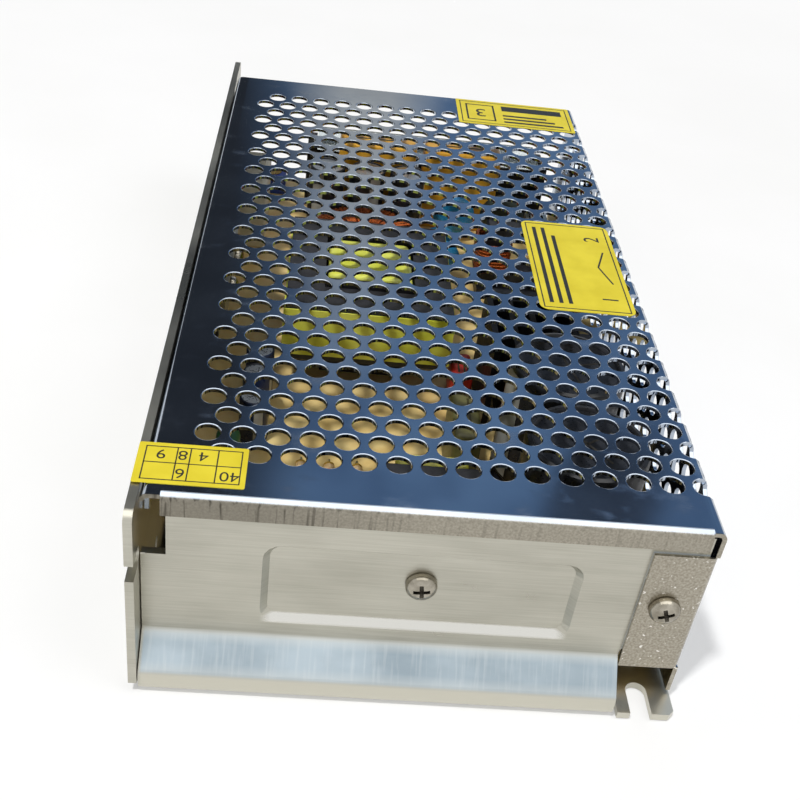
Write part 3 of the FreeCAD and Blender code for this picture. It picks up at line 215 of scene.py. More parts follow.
class Shape:
    """Corners in mm, and faces with their finish number and shading."""

    def __init__(self):
        self.corners = []
        self.faces = []

    def put(self, corners, faces, use=0, smooth=True, turn=None):
        """More corners, turned to their place, and the faces between them."""
        start = len(self.corners)
        self.corners += [turn @ Vector(c) if turn else Vector(c) for c in corners]
        self.faces += [([start + i for i in face], use, smooth) for face in faces]

    def put_mesh(self, mesh, turn=None):
        """A finished mesh in metres, with its finish numbers and shading."""
        start = len(self.corners)
        self.put([v.co / MM for v in mesh.vertices], [], turn=turn)
        self.faces += [([start + i for i in p.vertices], p.material_index, p.use_smooth)
                       for p in mesh.polygons]

    def mesh(self, name, finishes=(), sharp=35, seams=0.0):
        made = bpy.data.meshes.new(name)
        made.from_pydata([c * MM for c in self.corners], [], [f[0] for f in self.faces])
        for material in finishes:
            made.materials.append(material)
        made.polygons.foreach_set("material_index", [f[1] for f in self.faces])
        made.polygons.foreach_set("use_smooth", [f[2] for f in self.faces])
        made.update()
        if seams:
            close_seams(made, seams)
        # Marking the sharp edges clears the flat faces' flags, so they are set again.
        shading = [p.use_smooth for p in made.polygons]
        made.set_sharp_from_angle(angle=math.radians(sharp))
        made.polygons.foreach_set("use_smooth", shading)
        return made

    def piece(self, name, finishes, slot, node, sharp=35, seams=0.0):
        """The finished object, riding on the supply and standing for its CAD node."""
        made = new_object(self.mesh(name, finishes, sharp, seams), name)
        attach(made, "supply")
        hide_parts(node)


def new_object(data, name=""):
    """An object of the scene, named after its data where it has no name of its own."""
    made = bpy.data.objects.new(name or data.name, data)
    scene.collection.objects.link(made)
    return made


def settled(holder):
    """The mesh of a scratch object as its modifiers leave it. The object itself goes."""
    graph = bpy.context.evaluated_depsgraph_get()
    mesh = bpy.data.meshes.new_from_object(holder.evaluated_get(graph))
    bpy.data.objects.remove(holder)
    return mesh


def start_tree(name, sizes):
    """A geometry tree with one named input for each size."""
    tree = bpy.data.node_groups.new(name, "GeometryNodeTree")
    tree.interface.new_socket(name="Geometry", in_out="OUTPUT", socket_type="NodeSocketGeometry")
    for label, kind in sizes.items():
        tree.interface.new_socket(name=label, in_out="INPUT", socket_type="NodeSocket" + kind)
    return tree, add(tree, "NodeGroupInput").outputs


def lay(tree, points, part, **more):
    """One object laid on every point."""
    source = add(tree, "GeometryNodeObjectInfo", {"Object": part}).outputs["Geometry"]
    return add(tree, "GeometryNodeInstanceOnPoints", {"Points": points, "Instance": source, **more})


def end_tree(tree, geometry, material):
    """Realize, give the material and hand the geometry out."""
    real = add(tree, "GeometryNodeRealizeInstances", {"Geometry": geometry})
    done = add(tree, "GeometryNodeSetMaterial", {"Geometry": real, "Material": material})
    add(tree, "NodeGroupOutput", {"Geometry": done})


def grow(tree, sizes):
    """The tree run once with its sizes in mm, as a plain mesh."""
    holder = new_object(bpy.data.meshes.new(tree.name))
    modifier = holder.modifiers.new("grow", "NODES")
    modifier.node_group = tree
    for item in tree.interface.items_tree:
        if item.in_out == "INPUT":
            size = sizes[item.name]
            if item.socket_type == "NodeSocketFloat":
                size *= MM
            elif item.socket_type == "NodeSocketVector":
                size = [part * MM for part in size]
            modifier[item.identifier] = size
    return settled(holder)


def tile(half_x, half_y, radius, steps_x, steps_y):
    """One rectangle of the flat sheet round one hole, with the rim that the punch rolls in."""
    edge = [(-half_x + 2 * half_x * i / steps_x, -half_y) for i in range(steps_x)]
    edge += [(half_x, -half_y + 2 * half_y * i / steps_y) for i in range(steps_y)]
    edge += [(-x, -y) for x, y in edge]
    count = len(edge)
    angles = [math.atan2(y, x) for x, y in edge]
    rings = ((radius, -SHEET), (radius, -RIM_DROP), (radius + RIM * 0.35, -RIM_DROP / 3),
             (radius + RIM, 0.0))
    shape = Shape()
    shape.put([(x, y, -SHEET) for x, y in edge], [])
    for r, z in rings:
        shape.put([(r * math.cos(a), r * math.sin(a), z) for a in angles], [])
    shape.put([(x, y, 0.0) for x, y in edge], [])
    for level in range(len(rings) + 1):
        low, high = level * count, (level + 1) * count
        in_hole = 0 < level < len(rings)
        for i in range(count):
            k = (i + 1) % count
            shape.faces.append(([high + i, high + k, low + k, low + i], 0, in_hole))
    return shape


def vent_tree():
    """Tiles in two staggered grids, joined and folded over the right bend."""
    tree, given = start_tree("vent_field", {
        "Tile": "Object", "Pitch": "Float", "Row Step": "Float", "Columns": "Int", "Even Rows": "Int",
        "Odd Rows": "Int", "First": "Vector", "Bend X": "Float", "Bend Z": "Float",
        "Bend Radius": "Float", "Neutral Radius": "Float", "Material": "Material"})
    first_x, first_y, _ = add(tree, "ShaderNodeSeparateXYZ", given["First"]).outputs
    gaps = add(tree, "ShaderNodeMath", given["Columns"], 1.0, operation="SUBTRACT")
    across = add(tree, "ShaderNodeMath", given["Pitch"], gaps, operation="MULTIPLY")
    points = add(tree, "GeometryNodeJoinGeometry")
    for rows, shift_x, shift_y in (("Even Rows", 0.0, 0.0), ("Odd Rows", -0.5, 1.0)):
        gaps = add(tree, "ShaderNodeMath", given[rows], 1.0, operation="SUBTRACT")
        deep = add(tree, "ShaderNodeMath", given["Row Step"], 2.0, operation="MULTIPLY")
        deep = add(tree, "ShaderNodeMath", deep, gaps, operation="MULTIPLY")
        grid = add(tree, "GeometryNodeMeshGrid", across, deep, given["Columns"], given[rows])
        x = add(tree, "ShaderNodeMath", across, 0.5, first_x, operation="MULTIPLY_ADD")
        x = add(tree, "ShaderNodeMath", given["Pitch"], shift_x, x, operation="MULTIPLY_ADD")
        y = add(tree, "ShaderNodeMath", deep, 0.5, first_y, operation="MULTIPLY_ADD")
        y = add(tree, "ShaderNodeMath", given["Row Step"], shift_y, y, operation="MULTIPLY_ADD")
        grid = add(tree, "GeometryNodeTransform", {"Geometry": grid.outputs["Mesh"],
                                                   "Translation": add(tree, "ShaderNodeCombineXYZ", x, y)})
        tree.links.new(grid.outputs[0], points.inputs[0])
    tiles = add(tree, "GeometryNodeRealizeInstances", {"Geometry": lay(tree, points, given["Tile"])})
    tiles = add(tree, "GeometryNodeMergeByDistance", {"Geometry": tiles, "Distance": 0.02 * MM})

    flat_place = add(tree, "GeometryNodeInputPosition")
    flat_x, flat_y, flat_z = add(tree, "ShaderNodeSeparateXYZ", flat_place).outputs
    past = add(tree, "ShaderNodeMath", flat_x, given["Bend X"], operation="SUBTRACT")
    turn = add(tree, "ShaderNodeMath", past, given["Neutral Radius"], operation="DIVIDE")
    turn = add(tree, "ShaderNodeMath", turn, 0.0, operation="MAXIMUM")
    turn = add(tree, "ShaderNodeMath", turn, math.pi / 2, operation="MINIMUM")
    radius = add(tree, "ShaderNodeMath", given["Bend Radius"], flat_z, operation="ADD")
    sine = add(tree, "ShaderNodeMath", turn, operation="SINE")
    cosine = add(tree, "ShaderNodeMath", turn, operation="COSINE")
    x = add(tree, "ShaderNodeMath", flat_x, given["Bend X"], operation="MINIMUM")
    x = add(tree, "ShaderNodeMath", radius, sine, x, operation="MULTIPLY_ADD")
    arc = add(tree, "ShaderNodeMath", given["Neutral Radius"], math.pi / 2, operation="MULTIPLY")
    drop = add(tree, "ShaderNodeMath", past, arc, operation="SUBTRACT")
    drop = add(tree, "ShaderNodeMath", drop, 0.0, operation="MAXIMUM")
    z = add(tree, "ShaderNodeMath", radius, cosine, given["Bend Z"], operation="MULTIPLY_ADD")
    z = add(tree, "ShaderNodeMath", z, drop, operation="SUBTRACT")
    folded_place = add(tree, "ShaderNodeCombineXYZ", x, flat_y, z)
    done = add(tree, "GeometryNodeSetPosition", {"Geometry": tiles, "Position": folded_place})
    end_tree(tree, done, given["Material"])
    return tree


def side_u(z):
    """Place across the flat sheet of a height on the right wall, and the height of such a place."""
    return RIGHT_FOLD + ARC + FOLD_Z - z


def folded(u, y, depth):
    """A point of the flat sheet, depth mm under its outer face, where the folds carry it."""
    if u < LEFT_FOLD:
        turn = min((LEFT_FOLD - u) / NEUTRAL, math.pi / 2)
        sign, fold, rest = -1, LEFT_FOLD, max(LEFT_FOLD - ARC - u, 0)
    else:
        turn = min(max(u - RIGHT_FOLD, 0) / NEUTRAL, math.pi / 2)
        sign, fold, rest = 1, min(u, RIGHT_FOLD), max(u - RIGHT_FOLD - ARC, 0)
    radius = BEND - depth
    return (fold + sign * radius * math.sin(turn), y, FOLD_Z + radius * math.cos(turn) - rest)


def zone(u, y):
    """What this place of the flat sheet is: plain metal, a tile that is laid by itself, or open."""
    z = TOP if u < RIGHT_FOLD else side_u(u)
    if u < LEFT_FOLD - ARC and not HEM_NEAR < y < HEM_FAR:
        return "open"
    if y < LIP_FOLD_Y and (LIP_LEFT < u < LIP_RIGHT or FLAP_LOW < z < FLAP_HIGH):
        return "open"
    if FIELD_NEAR < y < FIELD_FAR:
        odd = int((y - FIELD_NEAR) / ROW_STEP) % 2
        if EVEN_START - odd * PITCH / 2 < u < EVEN_END - odd * PITCH / 2:
            return "tile"
    if WINDOW_LOW < z < WINDOW_HIGH and WINDOW_NEAR < y < WINDOW_FAR:
        return "open"
    return "tile" if abs(z - SEAT_Z) < SEAT_HALF and abs(abs(y) - SEAT_Y) < SEAT_HALF else "plain"


def plain_sheet(shape):
    """The margins of the sheet as one grid of cells, with thickness and cut edges."""
    across = [side_u(z) for z in (FOOT_Z, SEAT_Z - SEAT_HALF, SEAT_Z + SEAT_HALF, FLAP_LOW, FLAP_HIGH,
                                  WINDOW_LOW, WINDOW_HIGH)]
    across += [LEFT_FOLD - ARC - (FOLD_Z - HEM_LOW), LIP_LEFT, LIP_RIGHT]
    for i in range(BEND_STEPS + 1):
        across += [RIGHT_FOLD + ARC * i / BEND_STEPS, LEFT_FOLD - ARC * i / BEND_STEPS]
    across += [EVEN_START, EVEN_START - PITCH / 2, EVEN_END, EVEN_END - PITCH / 2]
    along = [NEAR_EDGE, LIP_FOLD_Y, HEM_NEAR, HEM_FAR, FAR_EDGE, WINDOW_NEAR, WINDOW_FAR]
    along += [FIELD_NEAR + i * ROW_STEP for i in range(ROWS + 1)]
    along += [side * SEAT_Y + end * SEAT_HALF for side in (-1, 1) for end in (-1, 1)]
    across, along = sorted(set(across)), sorted(set(along))
    cells = {(i, j): zone((across[i] + across[i + 1]) / 2, (along[j] + along[j + 1]) / 2)
             for i in range(len(across) - 1) for j in range(len(along) - 1)}
    corners = []
    index = {}

    def corner(i, j, depth):
        if (i, j, depth) not in index:
            index[i, j, depth] = len(corners)
            corners.append(folded(across[i], along[j], depth))
        return index[i, j, depth]

    faces = []
    for i, j in (cell for cell, kind in cells.items() if kind == "plain"):
        spots = ((i, j), (i + 1, j), (i + 1, j + 1), (i, j + 1))
        faces.append([corner(a, b, 0.0) for a, b in spots])
        faces.append([corner(a, b, SHEET) for a, b in spots][::-1])
        for n, beside in enumerate(((i, j - 1), (i + 1, j), (i, j + 1), (i - 1, j))):
            if cells.get(beside, "open") == "open":
                a, b = spots[n], spots[(n + 1) % 4]
                faces.append([corner(*b, 0.0), corner(*a, 0.0), corner(*a, SHEET), corner(*b, SHEET)])
    shape.put(corners, faces)


def screw_seat(shape, y):
    """The hole for a sunk screw in the side wall, as one more tile of the sheet."""
    seat = tile(SEAT_HALF, SEAT_HALF, SEAT_R, 8, 8)
    middle = side_u(SEAT_Z)
    start = len(shape.corners)
    shape.put([folded(middle + c.x, y + c.y, -c.z) for c in seat.corners], [])
    shape.faces += [([start + i for i in face], use, smooth) for face, use, smooth in seat.faces]


def folded_tab(shape, ends, tip, placed):
    """A tab bent down at the blank end, from the fold to its tip, between two ends."""
    outer, inner = [], []
    for side, radius in ((outer, BEND), (inner, BEND - SHEET)):
        for i in range(TAB_STEPS + 1):
            turn = math.pi / 2 * i / TAB_STEPS
            side.append((LIP_FOLD_Y - radius * math.sin(turn), FOLD_Z + radius * math.cos(turn)))
    outer.append((LIP_Y, tip))
    inner.append((LIP_Y + SHEET, tip))
    loop = outer + inner[::-1]
    count = len(loop)
    faces = [[i, (i + 1) % count, count + (i + 1) % count, count + i] for i in range(count)]
    for i in range(len(outer) - 1):
        cap = [i, i + 1, count - 2 - i, count - 1 - i]
        faces += [cap[::-1], [count + c for c in cap]]
    shape.put([placed(end, y, z) for end in ends for y, z in loop], faces)


folded_sheet = Shape()
one_tile = new_object(tile(PITCH / 2, ROW_STEP / 2, HOLE_R, 8, 4).mesh("vent_tile", [plating]))
even_rows = ROWS // 2 + 1
folded_sheet.put_mesh(grow(vent_tree(), {
    "Tile": one_tile, "Pitch": PITCH, "Row Step": ROW_STEP, "Columns": COLUMNS, "Even Rows": even_rows,
    "Odd Rows": ROWS - even_rows, "First": (FIRST_X, FIRST_Y, 0.0), "Bend X": RIGHT_FOLD,
    "Bend Z": FOLD_Z, "Bend Radius": BEND, "Neutral Radius": NEUTRAL, "Material": plating}))
bpy.data.objects.remove(one_tile)
plain_sheet(folded_sheet)
for y in (-SEAT_Y, SEAT_Y):
    screw_seat(folded_sheet, y)
# The lip hangs from the top. The flap hangs from the side wall, so its section is laid on its side, and
# it runs the other way round to keep its faces outwards.
rise = RIGHT_FOLD - FOLD_Z
folded_tab(folded_sheet, (LIP_RIGHT, LIP_LEFT), LIP_LOW, lambda end, y, z: (end, y, z))
folded_tab(folded_sheet, (FLAP_LOW, FLAP_HIGH), FLAP_LEFT - rise, lambda end, y, z: (z + rise, y, end))
folded_sheet.piece("perforated_cover", [plating], "plated_sheet", "cover", sharp=30, seams=0.1)

# Chassis: satin aluminium sheet 1.5 mm thick, folded from one blank into base, tall left wall and end
# wall, with a 45 degree ledge, a pressed panel, open slots and rounded relief corners. It keeps its CAD
# shape, with the fine rounding that folding and deburring leave on its edges.


def wear(node, material):
    """A CAD node keeps its shape and takes a better finish."""
    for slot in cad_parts[node].material_slots:
        slot.material = material


def soften(node, width, angle=40):
    """The fine rounding of a moulded or sawn edge, width in mm, on a CAD node."""
    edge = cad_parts[node].modifiers.new("fine_edge", "BEVEL")
    edge.width = width * MM
    edge.segments = 2
    edge.limit_method = "ANGLE"
    edge.angle_limit = math.radians(angle)
    edge.harden_normals = True


# Rolled aluminium gives a satin grey sheen with faint smears. Its rolling lines are finer than a pixel and
# are drawn coarser, 0.25 mm apart. The ledge is painted paler and bluer, a painted reflection, with drawn
# streaks and painted highlights along its two curves. The foot under it is painted lighter by painted
# light. The pressed panel's lower step is glossier, polished by the press, and painted brighter as a
# painted highlight.
def aluminium_finish():
    material, tree, place = start_finish("satin_aluminium_sheet")
    x, y, z = add(tree, "ShaderNodeSeparateXYZ", place).outputs
    fades = {"end wall": (y, -93.6, -92.6, 1.0, 0.0), "right of wall": (x, -47.8, -47.2, 0.0, 1.0),
             "over foot": (z, 4.4, 5.0, 0.0, 1.0), "under ledge top": (z, 9.8, 10.8, 1.0, 0.0),
             "lower bend": (z, 4.6, 6.4, 0.75, 0.0), "upper bend": (z, 8.8, 10.2, 0.0, 0.75),
             "over step": (z, 13.4, 13.8, 0.0, 1.0), "under step top": (z, 14.8, 15.2, 1.0, 0.0),
             "panel face": (y, -91.2, -90.8, 1.0, 0.0),
             "panel width": (add(tree, "ShaderNodeMath", x, operation="ABSOLUTE"), 25.5, 27.5, 1.0, 0.0)}
    fade = {name: add(tree, "ShaderNodeMapRange", axis, start * MM, end * MM, low, high)
            for name, (axis, start, end, low, high) in fades.items()}

    def all_of(*names):
        """Where every one of these fades is high."""
        share = fade[names[0]]
        for name in names[1:]:
            share = add(tree, "ShaderNodeMath", share, fade[name], operation="MULTIPLY")
        return share

    lines = grain(tree, place, 0.25, (60, 60, 1))
    smear = grain(tree, place, 9.0, (2.5, 2.5, 1), 4.0)
    speck = grain(tree, place, 0.35, detail=2.0)
    drawn = grain(tree, place, 0.6, (1, 14, 14))
    colour = add(tree, "ShaderNodeMix", {
        "Factor": 0.3, "A": two_shades(tree, smear, "A8A598", "C2BFB2", 0.3, 0.68),
        "B": two_shades(tree, lines, "A09E93", "C8C6BC", 0.3, 0.72)}, data_type="RGBA")

    streaks = add(tree, "ShaderNodeMapRange", drawn, 0.5, 0.72, 0.0, 0.3)
    # Painted reflection: the ledge is painted paler and bluer than the rest of the sheet. Its drawn streaks
    # are its own.
    ledge = add(tree, "ShaderNodeMix", {
        "Factor": streaks, "A": two_shades(tree, smear, "93A1AA", "AFBCC4", 0.35, 0.62),
        "B": linear("CCD2D3")}, data_type="RGBA")
    # Painted highlights: the ledge's two curves are painted paler.
    bend_highlights = add(tree, "ShaderNodeMath", fade["lower bend"], fade["upper bend"], operation="ADD")
    ledge = add(tree, "ShaderNodeMix", {"Factor": bend_highlights, "A": ledge, "B": linear("C6CBCA")},
                data_type="RGBA")
    on_ledge = all_of("end wall", "right of wall", "under ledge top", "over foot")
    colour = add(tree, "ShaderNodeMix", {"Factor": on_ledge, "A": colour, "B": ledge}, data_type="RGBA")
    # Painted light: the foot under the ledge is painted lighter than the rest of the sheet.
    painted_light_on_foot = add(tree, "ShaderNodeMath", 1.0, fade["over foot"], operation="SUBTRACT")
    painted_light_on_foot = add(tree, "ShaderNodeMath", all_of("end wall", "right of wall"), painted_light_on_foot,
                  operation="MULTIPLY")
    colour = add(tree, "ShaderNodeMix", {"Factor": painted_light_on_foot, "A": colour, "B": linear("C8C5B8")},
                 data_type="RGBA")
    # Painted highlight: the panel's lower step is painted brighter, and the press also makes it glossier.
    burnish_and_highlight = all_of("over step", "under step top", "panel face", "panel width")
    colour = add(tree, "ShaderNodeMix", {"Factor": burnish_and_highlight, "A": colour, "B": linear("D9D8D2")},
                 data_type="RGBA")

    rough = add(tree, "ShaderNodeMapRange", smear, 0.3, 0.7, 0.27, 0.4)
    gloss = add(tree, "ShaderNodeMapRange", burnish_and_highlight, 0.0, 1.0, 1.0, 0.35)
    pitted = add(tree, "ShaderNodeBump", {"Height": speck, "Distance": 0.012 * MM, "Strength": 0.4})
    end_finish(tree, {
        "Base Color": colour, "Metallic": 1.0,
        "Roughness": add(tree, "ShaderNodeMath", rough, gloss, operation="MULTIPLY"),
        "Normal": add(tree, "ShaderNodeBump", {"Height": lines, "Distance": 0.01 * MM, "Strength": 0.3,
                                               "Normal": pitted})})
    return material


aluminium = aluminium_finish()
wear("chassis", aluminium)
soften("chassis", 0.3, 30)

# Screws: nickel plated steel, cold headed, with a stamped cross recess. Pan heads hold the end wall, the
# flap, the board and the clamp bar, and flat heads sink into the cover's side wall.
FLAP_SCREW = (42.8, LIP_Y, 24.0)
END_WALL_SCREW = (0.0, -92.5, 24.0)
FLAP_SCREW_TURN, END_WALL_SCREW_TURN = 0.35, 0.12
PILLARS_X, PILLARS_Y = (-41.5, 42.7), (-85.2, 79.9)
BOARD_TOP = 6.6
CLAMP_BAR_SCREWS_Y = (1.5, 15.5)
SIDE_WALL_X = 49.5
PAN = [(0, -4.0), (1.0, -4.0), (1.25, -3.6), (1.25, 0.0), (2.55, 0.0), (2.8, 0.18), (2.8, 0.75),
       (2.68, 1.15), (2.35, 1.55), (1.8, 1.88), (1.0, 2.06), (0, 2.1)]
FLAT = [(0, -4.0), (1.25, -4.0), (1.25, -1.45), (2.55, -0.15), (2.68, -0.05), (2.6, 0.0), (0, 0.0)]
UPRIGHT = {"Z": Matrix.Identity(4), "X": Matrix.Rotation(math.pi / 2, 4, "Y"),
           "Y": Matrix.Rotation(-math.pi / 2, 4, "X"), "-Y": Matrix.Rotation(math.pi / 2, 4, "X")}


def finish(name, shades, size, rough, relief=0.02, metal=0.0, stretch=(1, 1, 1), **more):
    """A plain finish: two shades in patches of size mm, uneven gloss and relief mm deep."""
    material, tree, place = start_finish(name)
    patches = grain(tree, place, size, stretch)
    fine = grain(tree, place, size / 7, stretch, 5.0)
    end_finish(tree, {
        "Base Color": two_shades(tree, patches, *shades), "Metallic": metal,
        "Roughness": add(tree, "ShaderNodeMapRange", fine, 0.3, 0.7, *rough),
        "Normal": add(tree, "ShaderNodeBump", {"Height": fine, "Distance": relief * MM, "Strength": 0.6}),
        **{key.replace("_", " "): value for key, value in more.items()}})
    return material


# Nickel gives a warm grey gleam with soft highlights. The recess is painted nearly black, a painted shade,
# and shows the cross from a step away.
nickel = finish("nickel_plated_steel", ("8A8477", "B0AA9D"), 2.0, (0.12, 0.26), 0.02, 1.0)
recess_shade_steel = finish("tarnished_recess", ("48443B", "625D55"), 2.0, (0.4, 0.55), 0.01, 1.0)


def box_of(node):
    """A node's lowest and highest corner in mm."""
    low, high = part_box(node)
    return Vector(low) / MM, Vector(high) / MM


def lathe(shape, profile, at=(0, 0, 0), axis="Z", sides=32, use=0, ring=False):
    """A turned form: profile is (radius, height) up its outside, and back down its inside for a ring.
    Use is one finish, or one for each band."""
    start = len(shape.corners)
    corners = []
    rings = []
    for radius, height in profile:
        if radius == 0:
            rings.append([len(corners)] * sides)
            corners.append((0, 0, height))
            continue
        rings.append(list(range(len(corners), len(corners) + sides)))
        angles = [j * math.tau / sides for j in range(sides)]
        corners += [(radius * math.cos(a), radius * math.sin(a), height) for a in angles]
    shape.put(corners, [], turn=Matrix.Translation(at) @ UPRIGHT[axis])
    for band, (low, high) in enumerate(zip(rings, rings[1:] + rings[:1] if ring else rings[1:])):
        band_use = use if isinstance(use, int) else use[band]
        for j in range(sides):
            k = (j + 1) % sides
            face = [low[j], low[k], high[k], high[j]]
            face = [start + c for n, c in enumerate(face) if c not in face[:n]]
            if len(face) > 2:
                shape.faces.append((face, band_use, True))


def crossed_head(profile, arm, width, depth):
    """A turned screw with a cross recess cut into its head."""
    turned = Shape()
    lathe(turned, profile, sides=40)
    top = max(height for _, height in profile)
    recess = Shape()
    ends = ((top + 1, arm * 1.25, width / 2), (top - depth, arm * 0.62, width * 0.36))
    for turn in (0, math.pi / 2):
        corners = [(x * reach, y * half, z) for z, reach, half in ends
                   for x, y in ((-1, -1), (1, -1), (1, 1), (-1, 1))]
        faces = [[0, 1, 2, 3], [7, 6, 5, 4]]
        faces += [[4 + i, 4 + (i + 1) % 4, (i + 1) % 4, i] for i in range(4)]
        recess.put(corners, faces, 1, False, Matrix.Rotation(turn, 4, "Z"))
    # The recess faces take the second finish, painted near black as painted shade.
    finishes = [nickel, recess_shade_steel]
    head = new_object(turned.mesh("screw_head", finishes, 30))
    tool = new_object(recess.mesh("recess_tool", finishes))
    cut = head.modifiers.new("recess", "BOOLEAN")
    cut.operation = "DIFFERENCE"
    cut.object = tool
    cut.solver = "EXACT"
    cut.use_self = True
    mesh = settled(head)
    bpy.data.objects.remove(tool)
    return mesh


def add_screw(shape, screw, at, axis, spin=0.0):
    """A screw with its head's seat at a place, turned about its own axis by spin."""
    shape.put_mesh(screw, Matrix.Translation(at) @ UPRIGHT[axis] @ Matrix.Rotation(spin, 4, "Z"))


pan_head = crossed_head(PAN, 1.6, 0.85, 1.2)
flat_head = crossed_head(FLAT, 1.5, 0.8, 1.1)
pan_screws = Shape()
add_screw(pan_screws, pan_head, FLAP_SCREW, "-Y", FLAP_SCREW_TURN)
add_screw(pan_screws, pan_head, END_WALL_SCREW, "-Y", END_WALL_SCREW_TURN)
for i, (x, y) in enumerate((x, y) for x in PILLARS_X for y in PILLARS_Y):
    add_screw(pan_screws, pan_head, (x, y, BOARD_TOP), "Z", 0.5 * i)
low, high = box_of("wall_clamp_bar")
for y in CLAMP_BAR_SCREWS_Y:
    add_screw(pan_screws, pan_head, (high.x, y, (low.z + high.z) / 2), "X", y)
pan_screws.piece("pan_screws", [nickel, recess_shade_steel], "nickel", "pan_head_screws")
sunk_screws = Shape()
for y in (-SEAT_Y, SEAT_Y):
    add_screw(sunk_screws, flat_head, (SIDE_WALL_X, y, SEAT_Z), "X", 0.2 + y)
sunk_screws.piece("sunk_screws", [nickel, recess_shade_steel], "nickel", "side_screws")

# Circuit board: tan paper laminate 1.6 mm thick, sawn to shape. It is screwed to six sided nickel plated
# pillars, over a clear film that keeps its joints off the metal base.
# The laminate gives warm cream, dull and faintly mottled. The film shows as a pale grey veil.
laminate = finish("tan_paper_laminate", ("E6C47C", "F2D896"), 6.0, (0.38, 0.52), 0.015)
film = finish("clear_insulating_film", ("CFCDBE", "DEDCCF"), 12.0, (0.22, 0.32), 0.05)
wear("circuit_board", laminate)
wear("board_pillars", nickel)
wear("insulating_film", film)

# Terminal strip: black moulded block with barriers between seven ways. Each way has a plated clamp plate
# under a binding screw, and the block's pins are soldered into the board.
WAYS = 7
BINDING_R = 3.0
BINDING_SEAT = (93.8, 14.9)
BINDING = [(0, -6.0), (1.6, -6.0), (1.6, 0.0), (2.8, 0.0), (BINDING_R, 0.2), (BINDING_R, 1.0),
           (2.75, 1.5), (2.1, 1.75), (0, 1.8)]
# Moulded plastic gives near black with a soft, slightly uneven gloss. Tinned brass is pale and dull.
black_moulding = finish("black_moulded_plastic", ("141416", "1E1E21"), 5.0, (0.34, 0.5), 0.02)
tinned = finish("tinned_brass_plate", ("B9B4A4", "D0CBBC"), 2.5, (0.25, 0.4), 0.015, 1.0)
wear("terminal_block", black_moulding)
soften("terminal_block", 0.25)
wear("terminal_plates", tinned)


def row_tree():
    """One object repeated at even steps along a line."""
    tree, given = start_tree("screw_row", {"Part": "Object", "Count": "Int", "First": "Vector",
                                           "Step": "Vector", "Material": "Material"})
    line = add(tree, "GeometryNodeMeshLine", {"Count": given["Count"], "Start Location": given["First"],
                                              "Offset": given["Step"]})
    end_tree(tree, lay(tree, line, given["Part"]), given["Material"])
    return tree


low, high = box_of("terminal_screws")
way_step = (high.x - low.x - 2 * BINDING_R) / (WAYS - 1)
one_screw = Shape()
add_screw(one_screw, crossed_head(BINDING, 1.9, 1.0, 1.1), (0, 0, 0), "Z", 0.3)
source = new_object(one_screw.mesh("binding_screw", [nickel], 30))
binding_screws = Shape()
binding_screws.put_mesh(grow(row_tree(), {
    "Part": source, "Count": WAYS, "First": (low.x + BINDING_R, *BINDING_SEAT),
    "Step": (way_step, 0.0, 0.0), "Material": nickel}))
bpy.data.objects.remove(source)
binding_screws.piece("binding_screws", [nickel], "nickel", "terminal_screws")


# Terminal lid: clear plastic moulded in one piece, which keeps fingers off the screws. It clips into the
# strip's cheeks by two pins and swings up on them.
# Moulded clear plastic lets nearly all light through, with a glossy skin that waves a little.
def clear_finish():
    material, tree, place = start_finish("clear_moulded_plastic")
    wave = grain(tree, place, 14.0)
    end_finish(tree, {
        "Base Color": two_shades(tree, wave, "DCE6E8", "F0F6F6"),
        "Roughness": add(tree, "ShaderNodeMapRange", wave, 0.3, 0.7, 0.06, 0.14),
        "Normal": add(tree, "ShaderNodeBump", {"Height": wave, "Distance": 0.08 * MM, "Strength": 0.2}),
        "Transmission Weight": 0.9, "IOR": 1.45})
    return material


wear("terminal_lid", clear_finish())

# Input voltage selector and output trimmer: a red slider in a black body behind the side wall's window,
# and a turned brass rotor in a blue body beside the terminals. Both bodies are soldered to the board.
# Moulded plastics give even, slightly glossy colour. Turned brass gives a warm yellow metal sheen.
red_moulding = finish("red_moulded_plastic", ("A8190F", "BE2418"), 3.0, (0.28, 0.42), 0.02)
blue_moulding = finish("blue_moulded_plastic", ("1D3FA0", "2A4FB6"), 3.0, (0.3, 0.45), 0.02)
brass = finish("turned_brass", ("B08A3E", "CBA556"), 1.5, (0.22, 0.34), 0.01, 1.0)
wear("selector_body", black_moulding)
wear("selector_slider", red_moulding)
wear("trimmer_body", blue_moulding)
wear("trimmer_rotor", brass)
for node in ("selector_body", "selector_slider"):
    soften(node, 0.15)

# Power lamp: green moulded lens with a domed end, which holds the chip, on two tinned leads that are
# soldered to the board beside the terminals.
LEAD_PITCH, LEAD_WIDTH = 2.54, 0.5
# The tinted resin gives a clear, very glossy green that glows a little from inside.
lens = finish("green_lens", ("2E9A3A", "49B552"), 2.0, (0.1, 0.18), 0.01, Transmission_Weight=0.5)


def slab(shape, low, high, rounding=0.0, steps=2, use=0, turn=None):
    """A box from low to high with rounded edges."""
    work = bmesh.new()
    bmesh.ops.create_cube(work, size=1)
    for corner in work.verts:
        corner.co = [a + (c + 0.5) * (b - a) for a, b, c in zip(low, high, corner.co)]
    if rounding:
        bmesh.ops.bevel(work, geom=work.edges[:], offset=rounding, segments=steps, profile=0.5,
                        affect="EDGES")
    work.verts.index_update()
    shape.put([c.co.copy() for c in work.verts], [[c.index for c in f.verts] for f in work.faces], use,
              True, turn)
    work.free()


